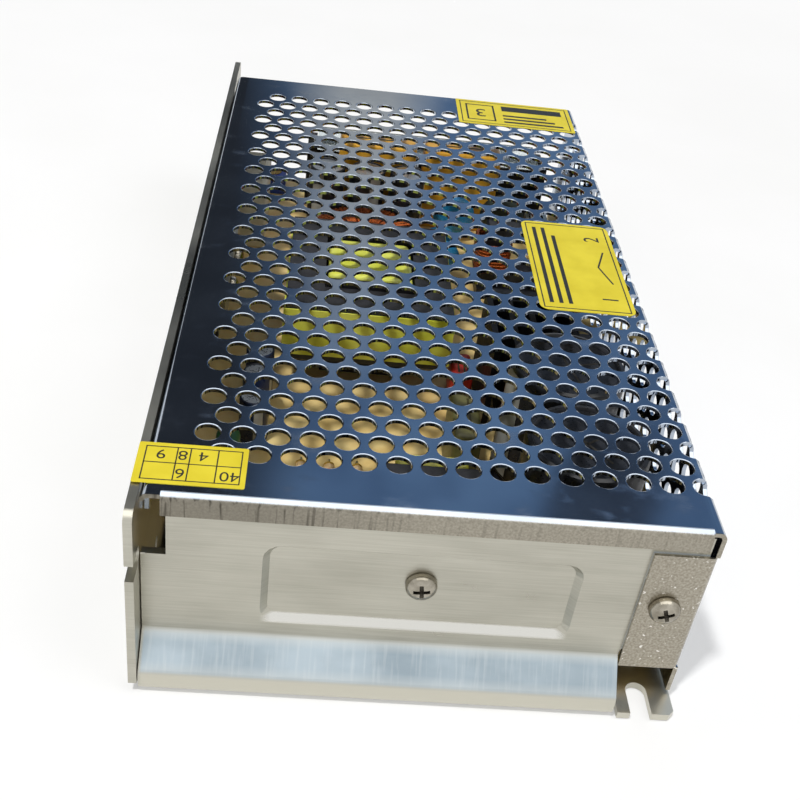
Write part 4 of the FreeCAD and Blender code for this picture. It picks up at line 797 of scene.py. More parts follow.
low, high = box_of("power_lamp")
middle = (low + high) / 2
lamp = Shape()
lathe(lamp, [(0, 9.6), (1.6, 9.6), (1.6, 10.3), (1.45, 10.4), (1.45, 12.7), (1.2, 13.5), (0.7, 14.0),
             (0, 14.1)], (middle.x, middle.y, 0), sides=28)
for side in (-LEAD_PITCH / 2, LEAD_PITCH / 2):
    slab(lamp, (middle.x + side - LEAD_WIDTH / 2, middle.y - LEAD_WIDTH / 2, BOARD_TOP),
         (middle.x + side + LEAD_WIDTH / 2, middle.y + LEAD_WIDTH / 2, 9.7), use=1)
lamp.piece("lamp", [lens, tinned], "green_lens", "power_lamp")

# Electrolytic capacitors: drawn aluminium cans in shrunk sleeves with a pale stripe, with a crimped neck
# near the foot and a bare top scored as a vent. They stand on the board on their leads.
CAN_SIDES = 48
STRIPE_ANGLE = 0.32
STRIPE_STEPS = 8
# Shrunk sleeve gives a tight, glossy skin, black or dark blue, with a dull pale stripe. The can's bare top
# is bright and finely brushed, and the large cans have a near black one.
sleeve = finish("black_shrunk_sleeve", ("17181B", "222328"), 6.0, (0.25, 0.38), 0.02)
blue_sleeve = finish("dark_blue_sleeve", ("14203A", "1C2B4B"), 6.0, (0.25, 0.38), 0.02)
stripe = finish("pale_sleeve_stripe", ("9C9C96", "B4B4AD"), 4.0, (0.3, 0.42), 0.01)
can_top = finish("bare_can_aluminium", ("B9BBBD", "D3D5D6"), 3.0, (0.24, 0.4), 0.01, 1.0)
dark_top = finish("black_lacquered_can_top", ("2A2B2E", "3A3B3F"), 3.0, (0.25, 0.4), 0.01, 0.4)


def prism(shape, outline, low, high, use=0, smooth=False, turn=None):
    """An upright form from low to high over an outline that runs anticlockwise."""
    count = len(outline)
    corners = [(x, y, z) for z in (low, high) for x, y in outline]
    faces = [list(range(count))[::-1], list(range(count, 2 * count))]
    faces += [[i, (i + 1) % count, count + (i + 1) % count, count + i] for i in range(count)]
    shape.put(corners, faces, use, smooth, turn)


def capacitor(shape, x, y, low, radius, height, facing=0.0):
    """One can: sleeve, crimped neck, scored top and stripe. Its finishes are sleeve, top, stripe, score."""
    r, h = radius, height
    top = h - r * 0.06
    profile = [(0, 0), (r * 0.94, 0), (r, r * 0.06), (r, r * 0.2), (r * 0.95, r * 0.27),
               (r * 0.95, r * 0.31), (r, r * 0.38), (r, h - r * 0.08), (r * 0.97, h - r * 0.02),
               (r * 0.9, h), (r * 0.87, h - r * 0.03), (r * 0.86, top), (0, top)]
    lathe(shape, profile, (x, y, low), sides=CAN_SIDES, use=[0] * (len(profile) - 2) + [1])
    for turn in (0, math.pi / 2):
        spin = Matrix.Translation((x, y, low + top)) @ Matrix.Rotation(turn + facing, 4, "Z")
        # The scores take the fourth finish, painted near black as painted shade in their grooves.
        slab(shape, (-r * 0.55, -r * 0.02, -0.1), (r * 0.55, r * 0.02, 0.04), use=3, turn=spin)
    angles = [facing + STRIPE_ANGLE * (2 * i / STRIPE_STEPS - 1) for i in range(STRIPE_STEPS + 1)]
    outline = [(x + (r + 0.03) * math.cos(a), y + (r + 0.03) * math.sin(a)) for a in angles]
    outline += [(x + (r - 0.05) * math.cos(a), y + (r - 0.05) * math.sin(a)) for a in angles[::-1]]
    prism(shape, outline, low + r * 0.42, low + h - r * 0.1, 2, True)


for node, facing in (("bulk_capacitor_near", 2.2), ("bulk_capacitor_far", 3.4)):
    low, high = box_of(node)
    middle = (low + high) / 2
    can = Shape()
    capacitor(can, middle.x, middle.y, low.z, (high.x - low.x) / 2, high.z - low.z, facing)
    can.piece(node + "_can", [sleeve, dark_top, stripe, recess_shade_steel], "black_sleeve", node)


def can_row(name, node, count, along, finishes, facing):
    """A row of equal cans that fills the node's box, along X or Y."""
    low, high = box_of(node)
    other = 1 - along
    radius = (high[other] - low[other]) / 2
    step = (high[along] - low[along] - 2 * radius) / (count - 1)
    row = Shape()
    for i in range(count):
        spot = [0, 0]
        spot[along] = low[along] + radius + i * step
        spot[other] = low[other] + radius
        capacitor(row, spot[0], spot[1], low.z, radius, high.z - low.z, facing + i)
    row.piece(name, finishes, "black_sleeve", node)


can_row("output_cans", "output_capacitors", 3, 0, [sleeve, can_top, stripe, recess_shade_steel], 4.2)
can_row("small_cans", "small_capacitors", 3, 1, [blue_sleeve, can_top, stripe, recess_shade_steel], 5.1)

# Box capacitors: wound film potted in moulded plastic boxes with rounded edges, which stand on their
# leads. Each has two short printed bars on its top.
BAR_PLACES = ((0.28, 0.62), (0.55, 0.78))
BAR_START, BAR_WIDTH = 0.16, 0.09
# Moulded boxes give strong, even colour under a soft gloss. The print is thin, dark and matt.
yellow_box = finish("yellow_capacitor_box", ("D79A22", "E6AE3A"), 5.0, (0.3, 0.42), 0.02)
olive_box = finish("olive_capacitor_box", ("5C5A34", "716E44"), 4.0, (0.35, 0.5), 0.03)
red_box = finish("red_capacitor_box", ("A5231A", "C0352A"), 4.0, (0.3, 0.42), 0.02)
green_box = finish("green_capacitor_box", ("1E5B34", "2A7042"), 4.0, (0.3, 0.42), 0.03)
print_ink = finish("dark_box_print", ("35300F", "463F1A"), 2.0, (0.5, 0.6), 0.01)


def boxed(name, node, box, slot, rounding):
    """A potted box with two plain printed bars on its top."""
    low, high = box_of(node)
    shape = Shape()
    slab(shape, low, high, rounding, 3)
    along = 0 if high.x - low.x > high.y - low.y else 1
    other = 1 - along
    span, deep = high[along] - low[along], high[other] - low[other]
    for place, end in BAR_PLACES:
        first, last = low.copy(), high.copy()
        first[along] = low[along] + span * BAR_START
        last[along] = low[along] + span * end
        first[other] = low[other] + deep * place
        last[other] = first[other] + deep * BAR_WIDTH
        first.z, last.z = high.z - 0.05, high.z + 0.02
        slab(shape, first, last, use=1)
    shape.piece(name, [box, print_ink], slot, node)


boxed("x_box_left", "x_capacitor_left", yellow_box, "yellow_box", 0.7)
boxed("x_box_right", "x_capacitor_right", yellow_box, "yellow_box", 0.7)
boxed("snubber_box", "snubber_capacitor", olive_box, "olive_box", 1.0)
boxed("red_box", "red_capacitor", red_box, "red_plastic", 1.0)
boxed("green_box", "green_capacitor", green_box, "olive_box", 1.2)

# Output choke: a pressed ferrite ring under twelve groups of four thick enamelled copper wires, wound
# side by side through the ring. It stands on the board on the wires' ends.
WIRE_R = 0.68
WIRE_GAP = 2.1
WIRE_BEND = 1.1
CHOKE_TURNS, CHOKE_STRANDS = 12, 4
CHOKE_LEAN = 0.9
TURN_INNER, TURN_OUTER = 5.9, 14.0
TURN_LOW, TURN_HIGH = 7.3, 18.3
# Ferrite gives a dull, slightly rough charcoal. Enamel over copper gives a deep red brown gloss.
ferrite = finish("dark_ferrite", ("242427", "313135"), 2.5, (0.5, 0.68), 0.05)
copper = finish("enamelled_copper_wire", ("9A4A22", "B8622F"), 2.0, (0.2, 0.34), 0.01, 0.85)
wear("choke_ring", ferrite)


def tube(shape, path, radius, sides=8, use=0, closed=False):
    """A round wire along a path."""
    points = [Vector(p) for p in path]
    count = len(points)
    angles = [j * math.tau / sides for j in range(sides)]
    corners = []
    side = None
    for i, point in enumerate(points):
        before = points[i - 1] if closed or i else point
        after = points[(i + 1) % count] if closed or i < count - 1 else point
        along = (after - before).normalized()
        if side is None:
            side = along.orthogonal().normalized()
        side = (side - along * side.dot(along)).normalized()
        other = along.cross(side)
        corners += [point + (side * math.cos(a) + other * math.sin(a)) * radius for a in angles]
    faces = []
    for i in range(count if closed else count - 1):
        k = (i + 1) % count
        faces += [[i * sides + j, i * sides + (j + 1) % sides, k * sides + (j + 1) % sides, k * sides + j]
                  for j in range(sides)]
    if not closed:
        faces.append(list(range(sides))[::-1])
        faces.append([(count - 1) * sides + j for j in range(sides)])
    shape.put(corners, faces, use)


def turn_tree():
    """One turn of wire repeated round the ring."""
    tree, given = start_tree("choke_turns", {"Turn": "Object", "Turns": "Int", "Middle": "Vector",
                                             "Material": "Material"})
    points = add(tree, "GeometryNodePoints", {"Count": given["Turns"], "Position": given["Middle"]})
    number = add(tree, "GeometryNodeInputIndex")
    share = add(tree, "ShaderNodeMath", number, given["Turns"], operation="DIVIDE")
    angle = add(tree, "ShaderNodeMath", share, math.tau, operation="MULTIPLY")
    spin = add(tree, "ShaderNodeCombineXYZ", {"Z": angle})
    end_tree(tree, lay(tree, points, given["Turn"], Rotation=spin), given["Material"])
    return tree


def wound_turn(inner, outer, low, high):
    """One group of wires laid side by side over the ring's section, closer together in its bore."""
    shape = Shape()
    for strand in range(CHOKE_STRANDS):
        aside = (strand - (CHOKE_STRANDS - 1) / 2) * WIRE_GAP * WIRE_R
        path = []
        for x, z, quarter in ((outer, low, -1), (outer, high, 0), (inner, high, 1), (inner, low, 2)):
            middle_x = x - WIRE_BEND if x == outer else x + WIRE_BEND
            middle_z = z - WIRE_BEND if z == high else z + WIRE_BEND
            for i in range(4):
                angle = (quarter + i / 3) * math.pi / 2
                px = middle_x + WIRE_BEND * math.cos(angle)
                pz = middle_z + WIRE_BEND * math.sin(angle)
                squeeze = 0.45 + 0.55 * (px - inner) / (outer - inner)
                lean = CHOKE_LEAN * (pz - low) / (high - low)
                path.append((px, aside * squeeze + lean, pz))
        tube(shape, path, WIRE_R, closed=True)
    return shape


low, high = box_of("choke_winding")
middle = (low + high) / 2
one_turn = wound_turn(TURN_INNER, TURN_OUTER, TURN_LOW, TURN_HIGH)
source = new_object(one_turn.mesh("choke_turn", [copper]))
winding = Shape()
winding.put_mesh(grow(turn_tree(), {"Turn": source, "Turns": CHOKE_TURNS,
                                    "Middle": (middle.x, middle.y, 0.0), "Material": copper}))
bpy.data.objects.remove(source)
winding.piece("choke_turns", [copper], "copper_wire", "choke_winding")

# Main transformer: two ground ferrite halves pushed into a black moulded bobbin, whose winding is wrapped
# in yellow tape. The same tape straps the halves together.
TAPE_STEP = 0.12
# Polyester tape gives a bright, smooth yellow with a film's gloss, and each layer's edge shows as a step.
tape = finish("yellow_polyester_tape", ("D6DA44", "F0F26A"), 8.0, (0.14, 0.26), 0.04)
wear("transformer_core_near", ferrite)
wear("transformer_core_far", ferrite)
wear("transformer_bobbin", black_moulding)
wear("transformer_strap", tape)
for node in ("transformer_core_near", "transformer_core_far"):
    soften(node, 0.35)


def taped_coil(name, node, rounding, layers):
    """A wound coil under layers of tape, each a little smaller than the one before."""
    low, high = box_of(node)
    span = high.y - low.y
    coil = Shape()
    for i in range(layers):
        inset = TAPE_STEP * i
        first = (low.x + inset, low.y + span * i / layers * 0.5, low.z + inset)
        last = (high.x - inset, high.y - span * (layers - 1 - i) / layers * 0.12, high.z - inset)
        slab(coil, first, last, rounding, 4)
    coil.piece(name, [tape], "yellow_tape", node)


taped_coil("taped_coil", "transformer_winding", 1.5, 3)

# Driver transformer at the blank end: a small ferrite core through a black bobbin, with a coil under
# yellow tape on each side of the core. Its pins are soldered to the board.
CORE_GAP = 0.3
# Polyester tape again, a smooth film in a slightly brighter yellow.
bright_tape = finish("bright_yellow_tape", ("DAD83C", "F2EE64"), 6.0, (0.18, 0.32), 0.03)
wear("driver_core", ferrite)
soften("driver_core", 0.3)
low, high = box_of("driver_winding")
core_low, core_high = box_of("driver_core")
driver = Shape()
for first, last in ((low.y, core_low.y - CORE_GAP), (core_high.y + CORE_GAP, high.y)):
    slab(driver, (low.x, first, low.z + 2.0), (high.x, last, high.z), 1.3, 4)
    slab(driver, (low.x + 0.6, first + 0.4, low.z), (high.x - 0.6, last - 0.4, low.z + 3.0), 0.2, 1, use=1)
slab(driver, (low.x + 1.8, low.y + 2.0, core_low.z + 4.6), (high.x - 1.8, high.y - 2.0, core_high.z - 4.6),
     0.5, 2)
driver.piece("driver_coil", [bright_tape, black_moulding], "yellow_tape", "driver_winding")

# Mains filter choke: a square ferrite frame on a black base, with two coils of enamelled copper wire
# wound on its legs. The real turns are finer, and nine thick ones stand for them so that they show.
LEG = 4.5
COIL_WALL = 5.2
FILTER_WIRE_R = 0.5
FILTER_TURNS = 9
TURN_POINTS = 24
wear("filter_core", ferrite)
wear("filter_base", black_moulding)
soften("filter_core", 0.3)
low, high = box_of("filter_coils")
middle = (low + high) / 2
reach = (high.x - low.x - LEG - COIL_WALL) / 2
half_x, half_y = (LEG + COIL_WALL) / 2 - FILTER_WIRE_R, (high.y - low.y) / 2 - FILTER_WIRE_R
turn_rise = (high.z - low.z - 2 * FILTER_WIRE_R) / (FILTER_TURNS - 1)
coils = Shape()
for x in (middle.x - reach, middle.x + reach):
    for i in range(FILTER_TURNS):
        z = low.z + FILTER_WIRE_R + i * turn_rise
        path = []
        for a in range(TURN_POINTS):
            c, s = math.cos(a * math.tau / TURN_POINTS), math.sin(a * math.tau / TURN_POINTS)
            squared = (abs(c) ** 5 + abs(s) ** 5) ** -0.2
            path.append((x + half_x * c * squared, middle.y + half_y * s * squared, z))
        tube(coils, path, FILTER_WIRE_R, closed=True)
coils.piece("filter_turns", [copper], "copper_wire", "filter_coils")

# Disc parts: two capacitors and a varistor dipped in blue epoxy, and a thermistor dipped in dark green.
# They stand on edge on wire legs, down which the dip has run a little way.
DISC_THICK = 4.0
DISC_SECTION = ((0.55, 0.49), (0.85, 0.36), (0.97, 0.18), (1.0, 0.0), (0.97, -0.18), (0.85, -0.36),
                (0.55, -0.49))
# Dipped epoxy gives a thick, glossy, slightly lumpy skin.
blue_dip = finish("blue_epoxy_dip", ("1873A8", "2E92C6"), 2.0, (0.2, 0.34), 0.05)
dark_dip = finish("dark_green_dip", ("1B231D", "28332A"), 2.0, (0.35, 0.5), 0.06)


def dipped(name, node, count, dip, slot):
    """Dipped discs standing on edge, each with two legs."""
    low, high = box_of(node)
    radius = (high.x - low.x) / 2
    x, z = (low.x + high.x) / 2, high.z - radius
    profile = [(radius * out, -DISC_THICK * deep) for out, deep in DISC_SECTION]
    shape = Shape()
    for i in range(count):
        y = low.y + DISC_THICK / 2 + i * (high.y - low.y - DISC_THICK)
        lathe(shape, [(0, -DISC_THICK / 2)] + profile + [(0, DISC_THICK / 2)], (x, y, z), "Y", 40)
        for leg in (x - radius / 2, x + radius / 2):
            foot = z - radius - 1.0
            lathe(shape, [(0, foot), (0.3, foot), (0.4, foot + 0.1), (0.75, z - radius * 0.95),
                          (0, z - radius * 0.95)], (leg, y, 0), sides=12)
            tube(shape, [(leg, y, low.z), (leg, y, z - radius * 0.7)], 0.3, 10, use=1)
    shape.piece(name, [dip, tinned], slot, node)


dipped("y_discs", "y_capacitors", 2, blue_dip, "blue_disc")
dipped("varistor_disc", "varistor", 1, blue_dip, "blue_disc")
dipped("thermistor_disc", "thermistor", 1, dark_dip, "black_disc")

# Fuse: a drawn glass tube with a fine wire inside and plated caps pressed on its ends, held in tinned
# spring clips on the board.
CAP_LENGTH = 5.0


# Fuse glass gives a clear tube with a hard, narrow highlight.
def glass_finish():
    material, tree, place = start_finish("fuse_glass_tube")
    cloud = grain(tree, place, 4.0)
    end_finish(tree, {
        "Base Color": two_shades(tree, cloud, "E6EDEB", "F7FAF8"),
        "Roughness": add(tree, "ShaderNodeMapRange", cloud, 0.3, 0.7, 0.02, 0.06),
        "Transmission Weight": 0.95, "IOR": 1.3})
    return material


low, high = box_of("fuse")
middle = (low + high) / 2
radius = (high.x - low.x) / 2
length = high.y - low.y
fuse = Shape()
for axis, start in (("Y", low.y), ("-Y", high.y)):
    lathe(fuse, [(0, 0), (radius * 0.85, 0), (radius, 0.4), (radius, CAP_LENGTH - 0.4),
                 (radius * 0.93, CAP_LENGTH), (0, CAP_LENGTH)], (middle.x, start, middle.z), axis)
glass_ends = (CAP_LENGTH - 0.2, length - CAP_LENGTH + 0.2)
lathe(fuse, [(radius * 0.9, glass_ends[0]), (radius * 0.9, glass_ends[1]), (radius * 0.7, glass_ends[1]),
             (radius * 0.7, glass_ends[0])], (middle.x, low.y, middle.z), "Y", use=1, ring=True)
tube(fuse, [(middle.x, low.y + 4, middle.z), (middle.x, high.y - 4, middle.z)], 0.12, 6)
fuse.piece("fuse_tube", [nickel, glass_finish()], "fuse_glass", "fuse")
wear("fuse_clips", tinned)

# Cooled parts: a finned heatsink of extruded aluminium, and moulded power packages that aluminium bars
# clamp to the end wall and the left wall, over grey silicone pads. The control chip is moulded alike.
# Black anodising gives a soft satin black with fine draw lines. The silicone pads are dull grey rubber.
anodised = finish("black_anodised_aluminium", ("17171A", "232327"), 4.0, (0.4, 0.52), 0.02, 0.6, (1, 1, 6))
pad = finish("grey_silicone_pad", ("8C9092", "A0A4A6"), 3.0, (0.6, 0.75), 0.03)
wear("heatsink", anodised)
for node in ("bridge_rectifier", "power_transistors", "output_rectifiers", "control_chip"):
    wear(node, black_moulding)
    soften(node, 0.2)
wear("thermal_pads", pad)
wear("end_clamp_bar", aluminium)
wear("wall_clamp_bar", aluminium)

# Cement resistor: a white ceramic trough that holds the wire, filled with cement, which is rough on its
# top. It lies on the board on its leads.
TROUGH_WALLS = (1.3, 1.5)
# Unglazed ceramic gives a matt, chalky white. The cement is grey and grainy.
ceramic = finish("white_ceramic_body", ("DDDACB", "EDEBDF"), 4.0, (0.6, 0.75), 0.08)
cement = finish("grey_cement_fill", ("BDB9A8", "CFCBBB"), 1.5, (0.8, 0.92), 0.25)
low, high = box_of("cement_resistor")
trough = Shape()
slab(trough, low, (high.x, high.y, high.z - 0.6), 0.7, 3)
slab(trough, (low.x + TROUGH_WALLS[0], low.y + TROUGH_WALLS[1], high.z - 1.4),
     (high.x - TROUGH_WALLS[0], high.y - TROUGH_WALLS[1], high.z - 0.1), 0.3, 2, use=1)
trough.piece("ceramic_resistor", [ceramic, cement], "white_ceramic", "cement_resistor")

# Axial resistors: ceramic rods dipped in tan lacquer, with swollen ends over their caps and painted
# colour bands. Their tinned leads are bent down into the board.
RESISTORS = 3
BODY_R, LEAD_R = 1.18, 0.28
BODY = [(0, -3.25), (0.8, -3.2), (1.15, -2.8), (BODY_R, -2.1), (1.0, -1.6), (1.0, 1.6), (BODY_R, 2.1),
        (1.15, 2.8), (0.8, 3.2), (0, 3.25)]
# Lacquer gives a warm tan gloss, and the painted bands are plain colour under the same gloss.
lacquer = finish("tan_resistor_lacquer", ("C9A877", "DABB8C"), 1.5, (0.25, 0.38), 0.02)
bands = [finish("band_" + name, shades, 1.0, (0.3, 0.4), 0.01) for name, shades in (
    ("brown", ("4A2712", "5B321A")), ("red", ("A21D14", "B92C20")), ("gold", ("A8812B", "BE973C")))]
low, high = box_of("resistors")
middle = (low + high) / 2
axial = Shape()
for i in range(RESISTORS):
    x = low.x + 1.2 + i * (high.x - low.x - 2.4) / (RESISTORS - 1)
    y, z = middle.y, high.z - 1.2
    lathe(axial, BODY, (x, y, z), "Y", 20)
    for at, band in ((-2.4, 1), (-0.9, 2), (0.3, 1 + i % 2), (2.4, 3)):
        r = BODY_R + 0.03 if abs(at) > 2 else 1.03
        ring = [(r, at - 0.3), (r, at + 0.3), (r - 0.1, at + 0.32), (r - 0.1, at - 0.32)]
        lathe(axial, ring, (x, y, z), "Y", 20, band, ring=True)
    for side in (-1, 1):
        foot = y + side * ((high.y - low.y) / 2 - 0.35)
        tube(axial, [(x, y + side * 3.0, z), (x, foot - side * 0.8, z), (x, foot - side * 0.2, z - 0.25),
                     (x, foot, z - 0.8), (x, foot, low.z)], LEAD_R, use=4)
axial.piece("axial_resistors", [lacquer] + bands + [tinned], "tan_resistor", "resistors")

# Stickers: yellow paper stuck flat on the cover, two of them near its ends and one beside the selector's
# window. They carry thin black frames, plain bars and plain numbers in black ink.
PAPER_TOP = 41.975
INK_FOOT, INK_TOP = 41.965, 41.99
RULE = 0.22
RULED_COLUMNS = (1.2, 6.4, 8.6, 13.2)
BAR_PITCH = 2.2


# Coated paper gives a warm, strong yellow with a low gloss. Its fibres are finer than a pixel and are
# drawn 0.3 mm long. The ink is a thin, matt black layer.
def paper_finish():
    material, tree, place = start_finish("yellow_sticker_paper")
    cloud = grain(tree, place, 7.0)
    fibre = grain(tree, place, 0.3, detail=4.0)
    end_finish(tree, {
        "Base Color": two_shades(tree, cloud, "D8C51C", "E4D22C"),
        "Roughness": add(tree, "ShaderNodeMapRange", fibre, 0.3, 0.7, 0.32, 0.45),
        "Normal": add(tree, "ShaderNodeBump", {"Height": fibre, "Distance": 0.01 * MM, "Strength": 0.5})})
    return material


paper = paper_finish()
ink = finish("black_sticker_ink", ("1A1A18", "262622"), 1.5, (0.4, 0.5), 0.005)


def paper_sheet(node, corner):
    """The sticker's sheet with rounded corners, and its box."""
    low, high = box_of(node)
    outline = []
    for cx, cy, start in ((high.x - corner, high.y - corner, 0), (low.x + corner, high.y - corner, 1),
                          (low.x + corner, low.y + corner, 2), (high.x - corner, low.y + corner, 3)):
        angles = [(start + i / 5) * math.pi / 2 for i in range(6)]
        outline += [(cx + corner * math.cos(a), cy + corner * math.sin(a)) for a in angles]
    shape = Shape()
    prism(shape, outline, low.z + 0.005, PAPER_TOP)
    return shape, low, high


def ink_bar(shape, x0, x1, y0, y1, turn=None):
    prism(shape, [(x0, y0), (x1, y0), (x1, y1), (x0, y1)], INK_FOOT, INK_TOP, 1, turn=turn)


def ink_frame(shape, x0, x1, y0, y1, width):
    for bar in ((x0, x1, y0, y0 + width), (x0, x1, y1 - width, y1), (x0, x0 + width, y0, y1),
                (x1 - width, x1, y0, y1)):
        ink_bar(shape, *bar)


def ink_number(shape, text, x, y, size, spin):
    """A plain number as flat print, centred on its place."""
    curve = bpy.data.curves.new("number", "FONT")
    curve.body = text
    curve.size = size
    curve.extrude = (INK_TOP - INK_FOOT) / 2
    curve.align_x = "CENTER"
    curve.align_y = "CENTER"
    mesh = settled(new_object(curve))
    turn = Matrix.Translation((x, y, (INK_FOOT + INK_TOP) / 2)) @ Matrix.Rotation(spin, 4, "Z")
    shape.put([v.co for v in mesh.vertices], [list(p.vertices) for p in mesh.polygons], 1, False, turn)


label, low, high = paper_sheet("date_label", 0.4)
for x in RULED_COLUMNS:
    ink_bar(label, low.x + x, low.x + x + RULE, low.y + 0.9, high.y - 0.9)
for y in (low.y + 0.9, (low.y + high.y) / 2, high.y - 1.1):
    ink_bar(label, low.x + 1.2, high.x - 0.9, y, y + RULE)
ink_bar(label, high.x - 1.1, high.x - 0.9, low.y + 0.9, high.y - 0.9)
for text, x, y in (("40", 15.6, 2.9), ("4", 10.9, 7.6), ("8", 7.5, 7.6), ("6", 7.5, 2.9), ("9", 3.9, 7.6)):
    ink_number(label, text, low.x + x, low.y + y, 3.4, math.pi)
label.piece("date_sticker", [paper, ink], "yellow_label", "date_label")

label, low, high = paper_sheet("rear_label", 0.5)
ink_frame(label, low.x + 1.0, high.x - 1.0, low.y + 1.0, high.y - 1.0, 0.3)
ink_frame(label, low.x + 2.6, low.x + 10.8, low.y + 3.0, high.y - 3.0, 0.5)
ink_number(label, "3", low.x + 6.7, (low.y + high.y) / 2, 7.5, math.pi)
ink_bar(label, low.x + 13.0, high.x - 2.6, high.y - 6.2, high.y - 2.8)
for i in range(3):
    y = low.y + 2.6 + BAR_PITCH * i
    ink_bar(label, low.x + 13.0, high.x - 3.0 - BAR_PITCH * i, y, y + 1.0)
label.piece("rear_sticker", [paper, ink], "yellow_label", "rear_label")

label, low, high = paper_sheet("selector_label", 2.0)
ink_frame(label, low.x + 0.9, high.x - 0.9, low.y + 0.9, high.y - 0.9, 0.28)
for x, end in ((2.4, 3.0), (4.5, 3.0), (6.6, 6.5)):
    ink_bar(label, low.x + x, low.x + x + 0.9, low.y + 3.0, high.y - end)
for text, y in (("1", 6.0), ("2", 33.0)):
    ink_number(label, text, high.x - 4.6, low.y + y, 5.2, math.pi / 2)
for end in (1, -1):
    lean = Matrix.Translation((high.x - 5.2, (low.y + high.y) / 2, 0)) @ Matrix.Rotation(-0.3 * end, 4, "Z")
    ink_bar(label, -0.2, 0.2, min(0, 7.5 * end), max(0, 7.5 * end), lean)
label.piece("selector_sticker", [paper, ink], "yellow_label", "selector_label")

# Studio: a matt white floor under soft lamps. A card behind the supply and a softbox over it are seen
# only by polished metal, and give the cover its reflections. Sizes here are in metres.
FLOOR = 4.0
FLOOR_Z = -0.0003
CARD_X, CARD_Y, CARD_Z = (-0.5, 0.8), 0.6, (0.12, 1.0)
BOX_X, BOX_Y, BOX_Z = 0.9, (-1.0, 0.5), 1.2
AIM = Vector((0, 0, 0.02))


def plain_stage(name, corners, material):
    """One flat panel of the studio."""
    mesh = bpy.data.meshes.new(name)
    mesh.from_pydata(corners, [], [[0, 1, 2, 3]])
    mesh.materials.append(material)
    made = new_object(mesh)
    return made


def seen_rays(tree):
    """1 for what the camera sees, also in gloss and through glass."""
    rays = add(tree, "ShaderNodeLightPath").outputs
    seen = add(tree, "ShaderNodeMath", rays["Is Camera Ray"], rays["Is Glossy Ray"], operation="MAXIMUM")
    return add(tree, "ShaderNodeMath", seen, rays["Is Transmission Ray"], operation="MAXIMUM")


# Matt painted floor: it keeps the soft shadow near the part and fades to plain white away from it.
def floor_finish():
    material, tree, place = start_finish("pale_studio_floor")
    paint = add(tree, "ShaderNodeBsdfPrincipled", {
        "Base Color": two_shades(tree, grain(tree, place, 60.0), "F6F6F5", "FAFAFA"),
        "Roughness": 0.95, "Specular IOR Level": 0.0})
    away = add(tree, "ShaderNodeVectorMath", place, operation="LENGTH")
    away = add(tree, "ShaderNodeMapRange", away, 0.12, 0.6, 0.35, 1.0)
    away = add(tree, "ShaderNodeMath", away, seen_rays(tree), operation="MULTIPLY")
    white = add(tree, "ShaderNodeEmission", {"Color": (1, 1, 1, 1), "Strength": 1.0})
    add(tree, "ShaderNodeOutputMaterial", {"Surface": add(tree, "ShaderNodeMixShader", away, paint, white)})
    return material


# The card: charcoal on the left, cloudy grey blue on the right, a pale glow low in the middle and one dark
# spot. In the polished cover it shows as a dark band, a blue field and a bright streak.
def card_finish():
    material, tree, place = start_finish("studio_card")
    x, _, _ = add(tree, "ShaderNodeSeparateXYZ", place).outputs
    right = add(tree, "ShaderNodeMapRange", x, -0.085, 0.0)
    blue = two_shades(tree, grain(tree, place, 70.0, (1, 1, 1.6)), "5C7697", "7391B3", 0.4, 0.62)
    colour = add(tree, "ShaderNodeMix", {"Factor": right, "A": linear("34383E"), "B": blue},
                 data_type="RGBA")
    for at_x, at_z, reach_x, reach_z, full, shade in ((0.012, 0.19, 0.062, 0.36, 0.7, "D6D4CC"),
                                                      (0.28, 0.64, 0.07, 0.12, 0.35, "34373D")):
        laid = add(tree, "ShaderNodeMapping", {"Vector": place, "Scale": (1 / reach_x, 0, 1 / reach_z),
                                               "Location": (-at_x / reach_x, 0, -at_z / reach_z)})
        spot = add(tree, "ShaderNodeTexGradient", {"Vector": laid}, gradient_type="SPHERICAL")
        spot = add(tree, "ShaderNodeMapRange", spot.outputs["Fac"], 0.0, full, 0.0, 0.85)
        colour = add(tree, "ShaderNodeMix", {"Factor": spot, "A": colour, "B": linear(shade)},
                     data_type="RGBA")
    glow = add(tree, "ShaderNodeEmission", {"Color": colour, "Strength": 1.0})
    add(tree, "ShaderNodeOutputMaterial", {"Surface": glow})
    return material


# The softbox: lit white cloth, which gives the folded edges and the rims of the holes their highlights.
def softbox_finish():
    material, tree, place = start_finish("studio_softbox")
    cloth = two_shades(tree, grain(tree, place, 90.0), "F4F4F2", "FFFFFF")
    glow = add(tree, "ShaderNodeEmission", {"Color": cloth, "Strength": 2.6})
    add(tree, "ShaderNodeOutputMaterial", {"Surface": glow})
    return material


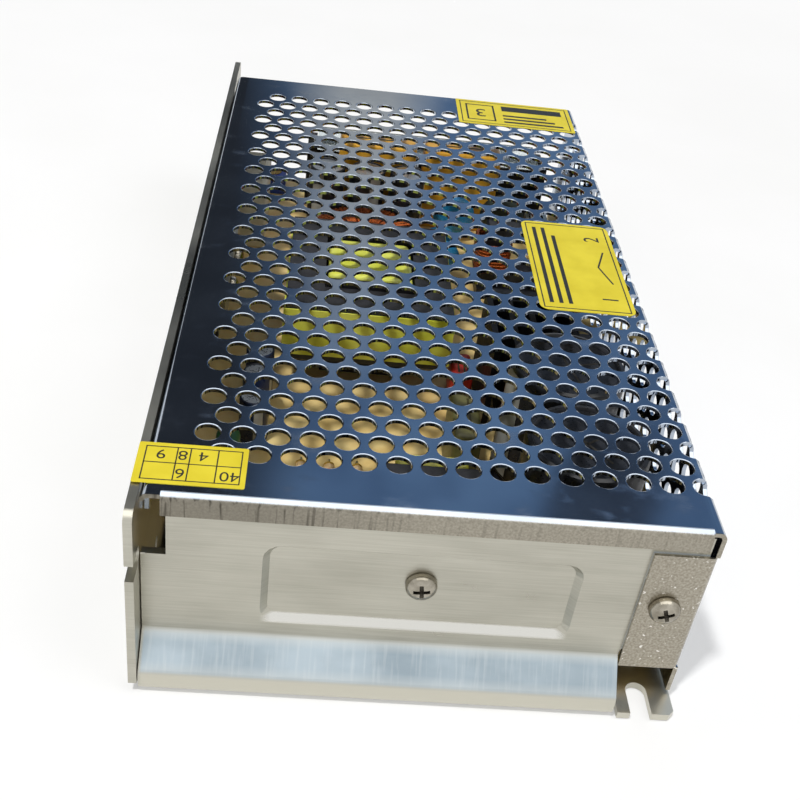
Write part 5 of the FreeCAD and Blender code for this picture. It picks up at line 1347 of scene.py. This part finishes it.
plain_stage("floor", [(-FLOOR, -FLOOR, FLOOR_Z), (FLOOR, -FLOOR, FLOOR_Z), (FLOOR, FLOOR, FLOOR_Z),
                      (-FLOOR, FLOOR, FLOOR_Z)], floor_finish())
card = plain_stage("mirror_card", [(CARD_X[0], CARD_Y, CARD_Z[0]), (CARD_X[0], CARD_Y, CARD_Z[1]),
                                   (CARD_X[1], CARD_Y, CARD_Z[1]), (CARD_X[1], CARD_Y, CARD_Z[0])],
                   card_finish())
softbox = plain_stage("softbox", [(-BOX_X, BOX_Y[0], BOX_Z), (-BOX_X, BOX_Y[1], BOX_Z),
                                  (BOX_X, BOX_Y[1], BOX_Z), (BOX_X, BOX_Y[0], BOX_Z)], softbox_finish())
for panel in (card, softbox):
    for ray in ("camera", "diffuse", "transmission", "shadow", "volume_scatter"):
        setattr(panel, "visible_" + ray, False)

# Room light: an even white that the camera and gloss see as plain white, and that lights the part softly.
ROOM_LEVEL = 0.38
world = bpy.data.worlds.new("soft_room")
scene.world = world
world.use_nodes = True
tree = world.node_tree
tree.nodes.clear()
level = add(tree, "ShaderNodeMapRange", seen_rays(tree), 0.0, 1.0, ROOM_LEVEL, 1.0)
room = add(tree, "ShaderNodeBackground", {"Color": (1, 1, 1, 1), "Strength": level})
add(tree, "ShaderNodeOutputWorld", {"Surface": room})


def lamp_at(name, place, size, power):
    """A square lamp that looks at the part and isn't mirrored in it."""
    light = bpy.data.lights.new(name, "AREA")
    light.shape = "SQUARE"
    light.size = size
    light.energy = power
    made = new_object(light)
    made.location = place
    made.rotation_euler = (AIM - Vector(place)).to_track_quat("-Z", "Y").to_euler()
    made.visible_glossy = False


lamp_at("key_light", (-0.5, -0.6, 1.7), 0.12, 22.0)
lamp_at("fill_light", (0.8, -0.3, 1.4), 0.9, 4.0)
scene.view_settings.view_transform = "Standard"

# Camera: the place that the photograph was taken from, found from the rows of holes and the case's
# corners. It is in metres, and the three axes are those of the solved view.
PLACE = (-0.023776, -0.233509, 0.166385)
RIGHT = (0.99303078, -0.02506907, 0.11515823)
UP = (-0.07777803, 0.59472137, 0.80016065)
BACK = (-0.08854634, -0.80354094, 0.5886268)
camera_data = bpy.data.cameras.new("camera")
camera_data.sensor_width = 36.0
camera_data.lens = 51.757
camera_data.clip_start = 0.01
camera = new_object(camera_data)
camera.matrix_world = Matrix.Translation(PLACE) @ Matrix((RIGHT, UP, BACK)).transposed().to_4x4()
scene.camera = camera
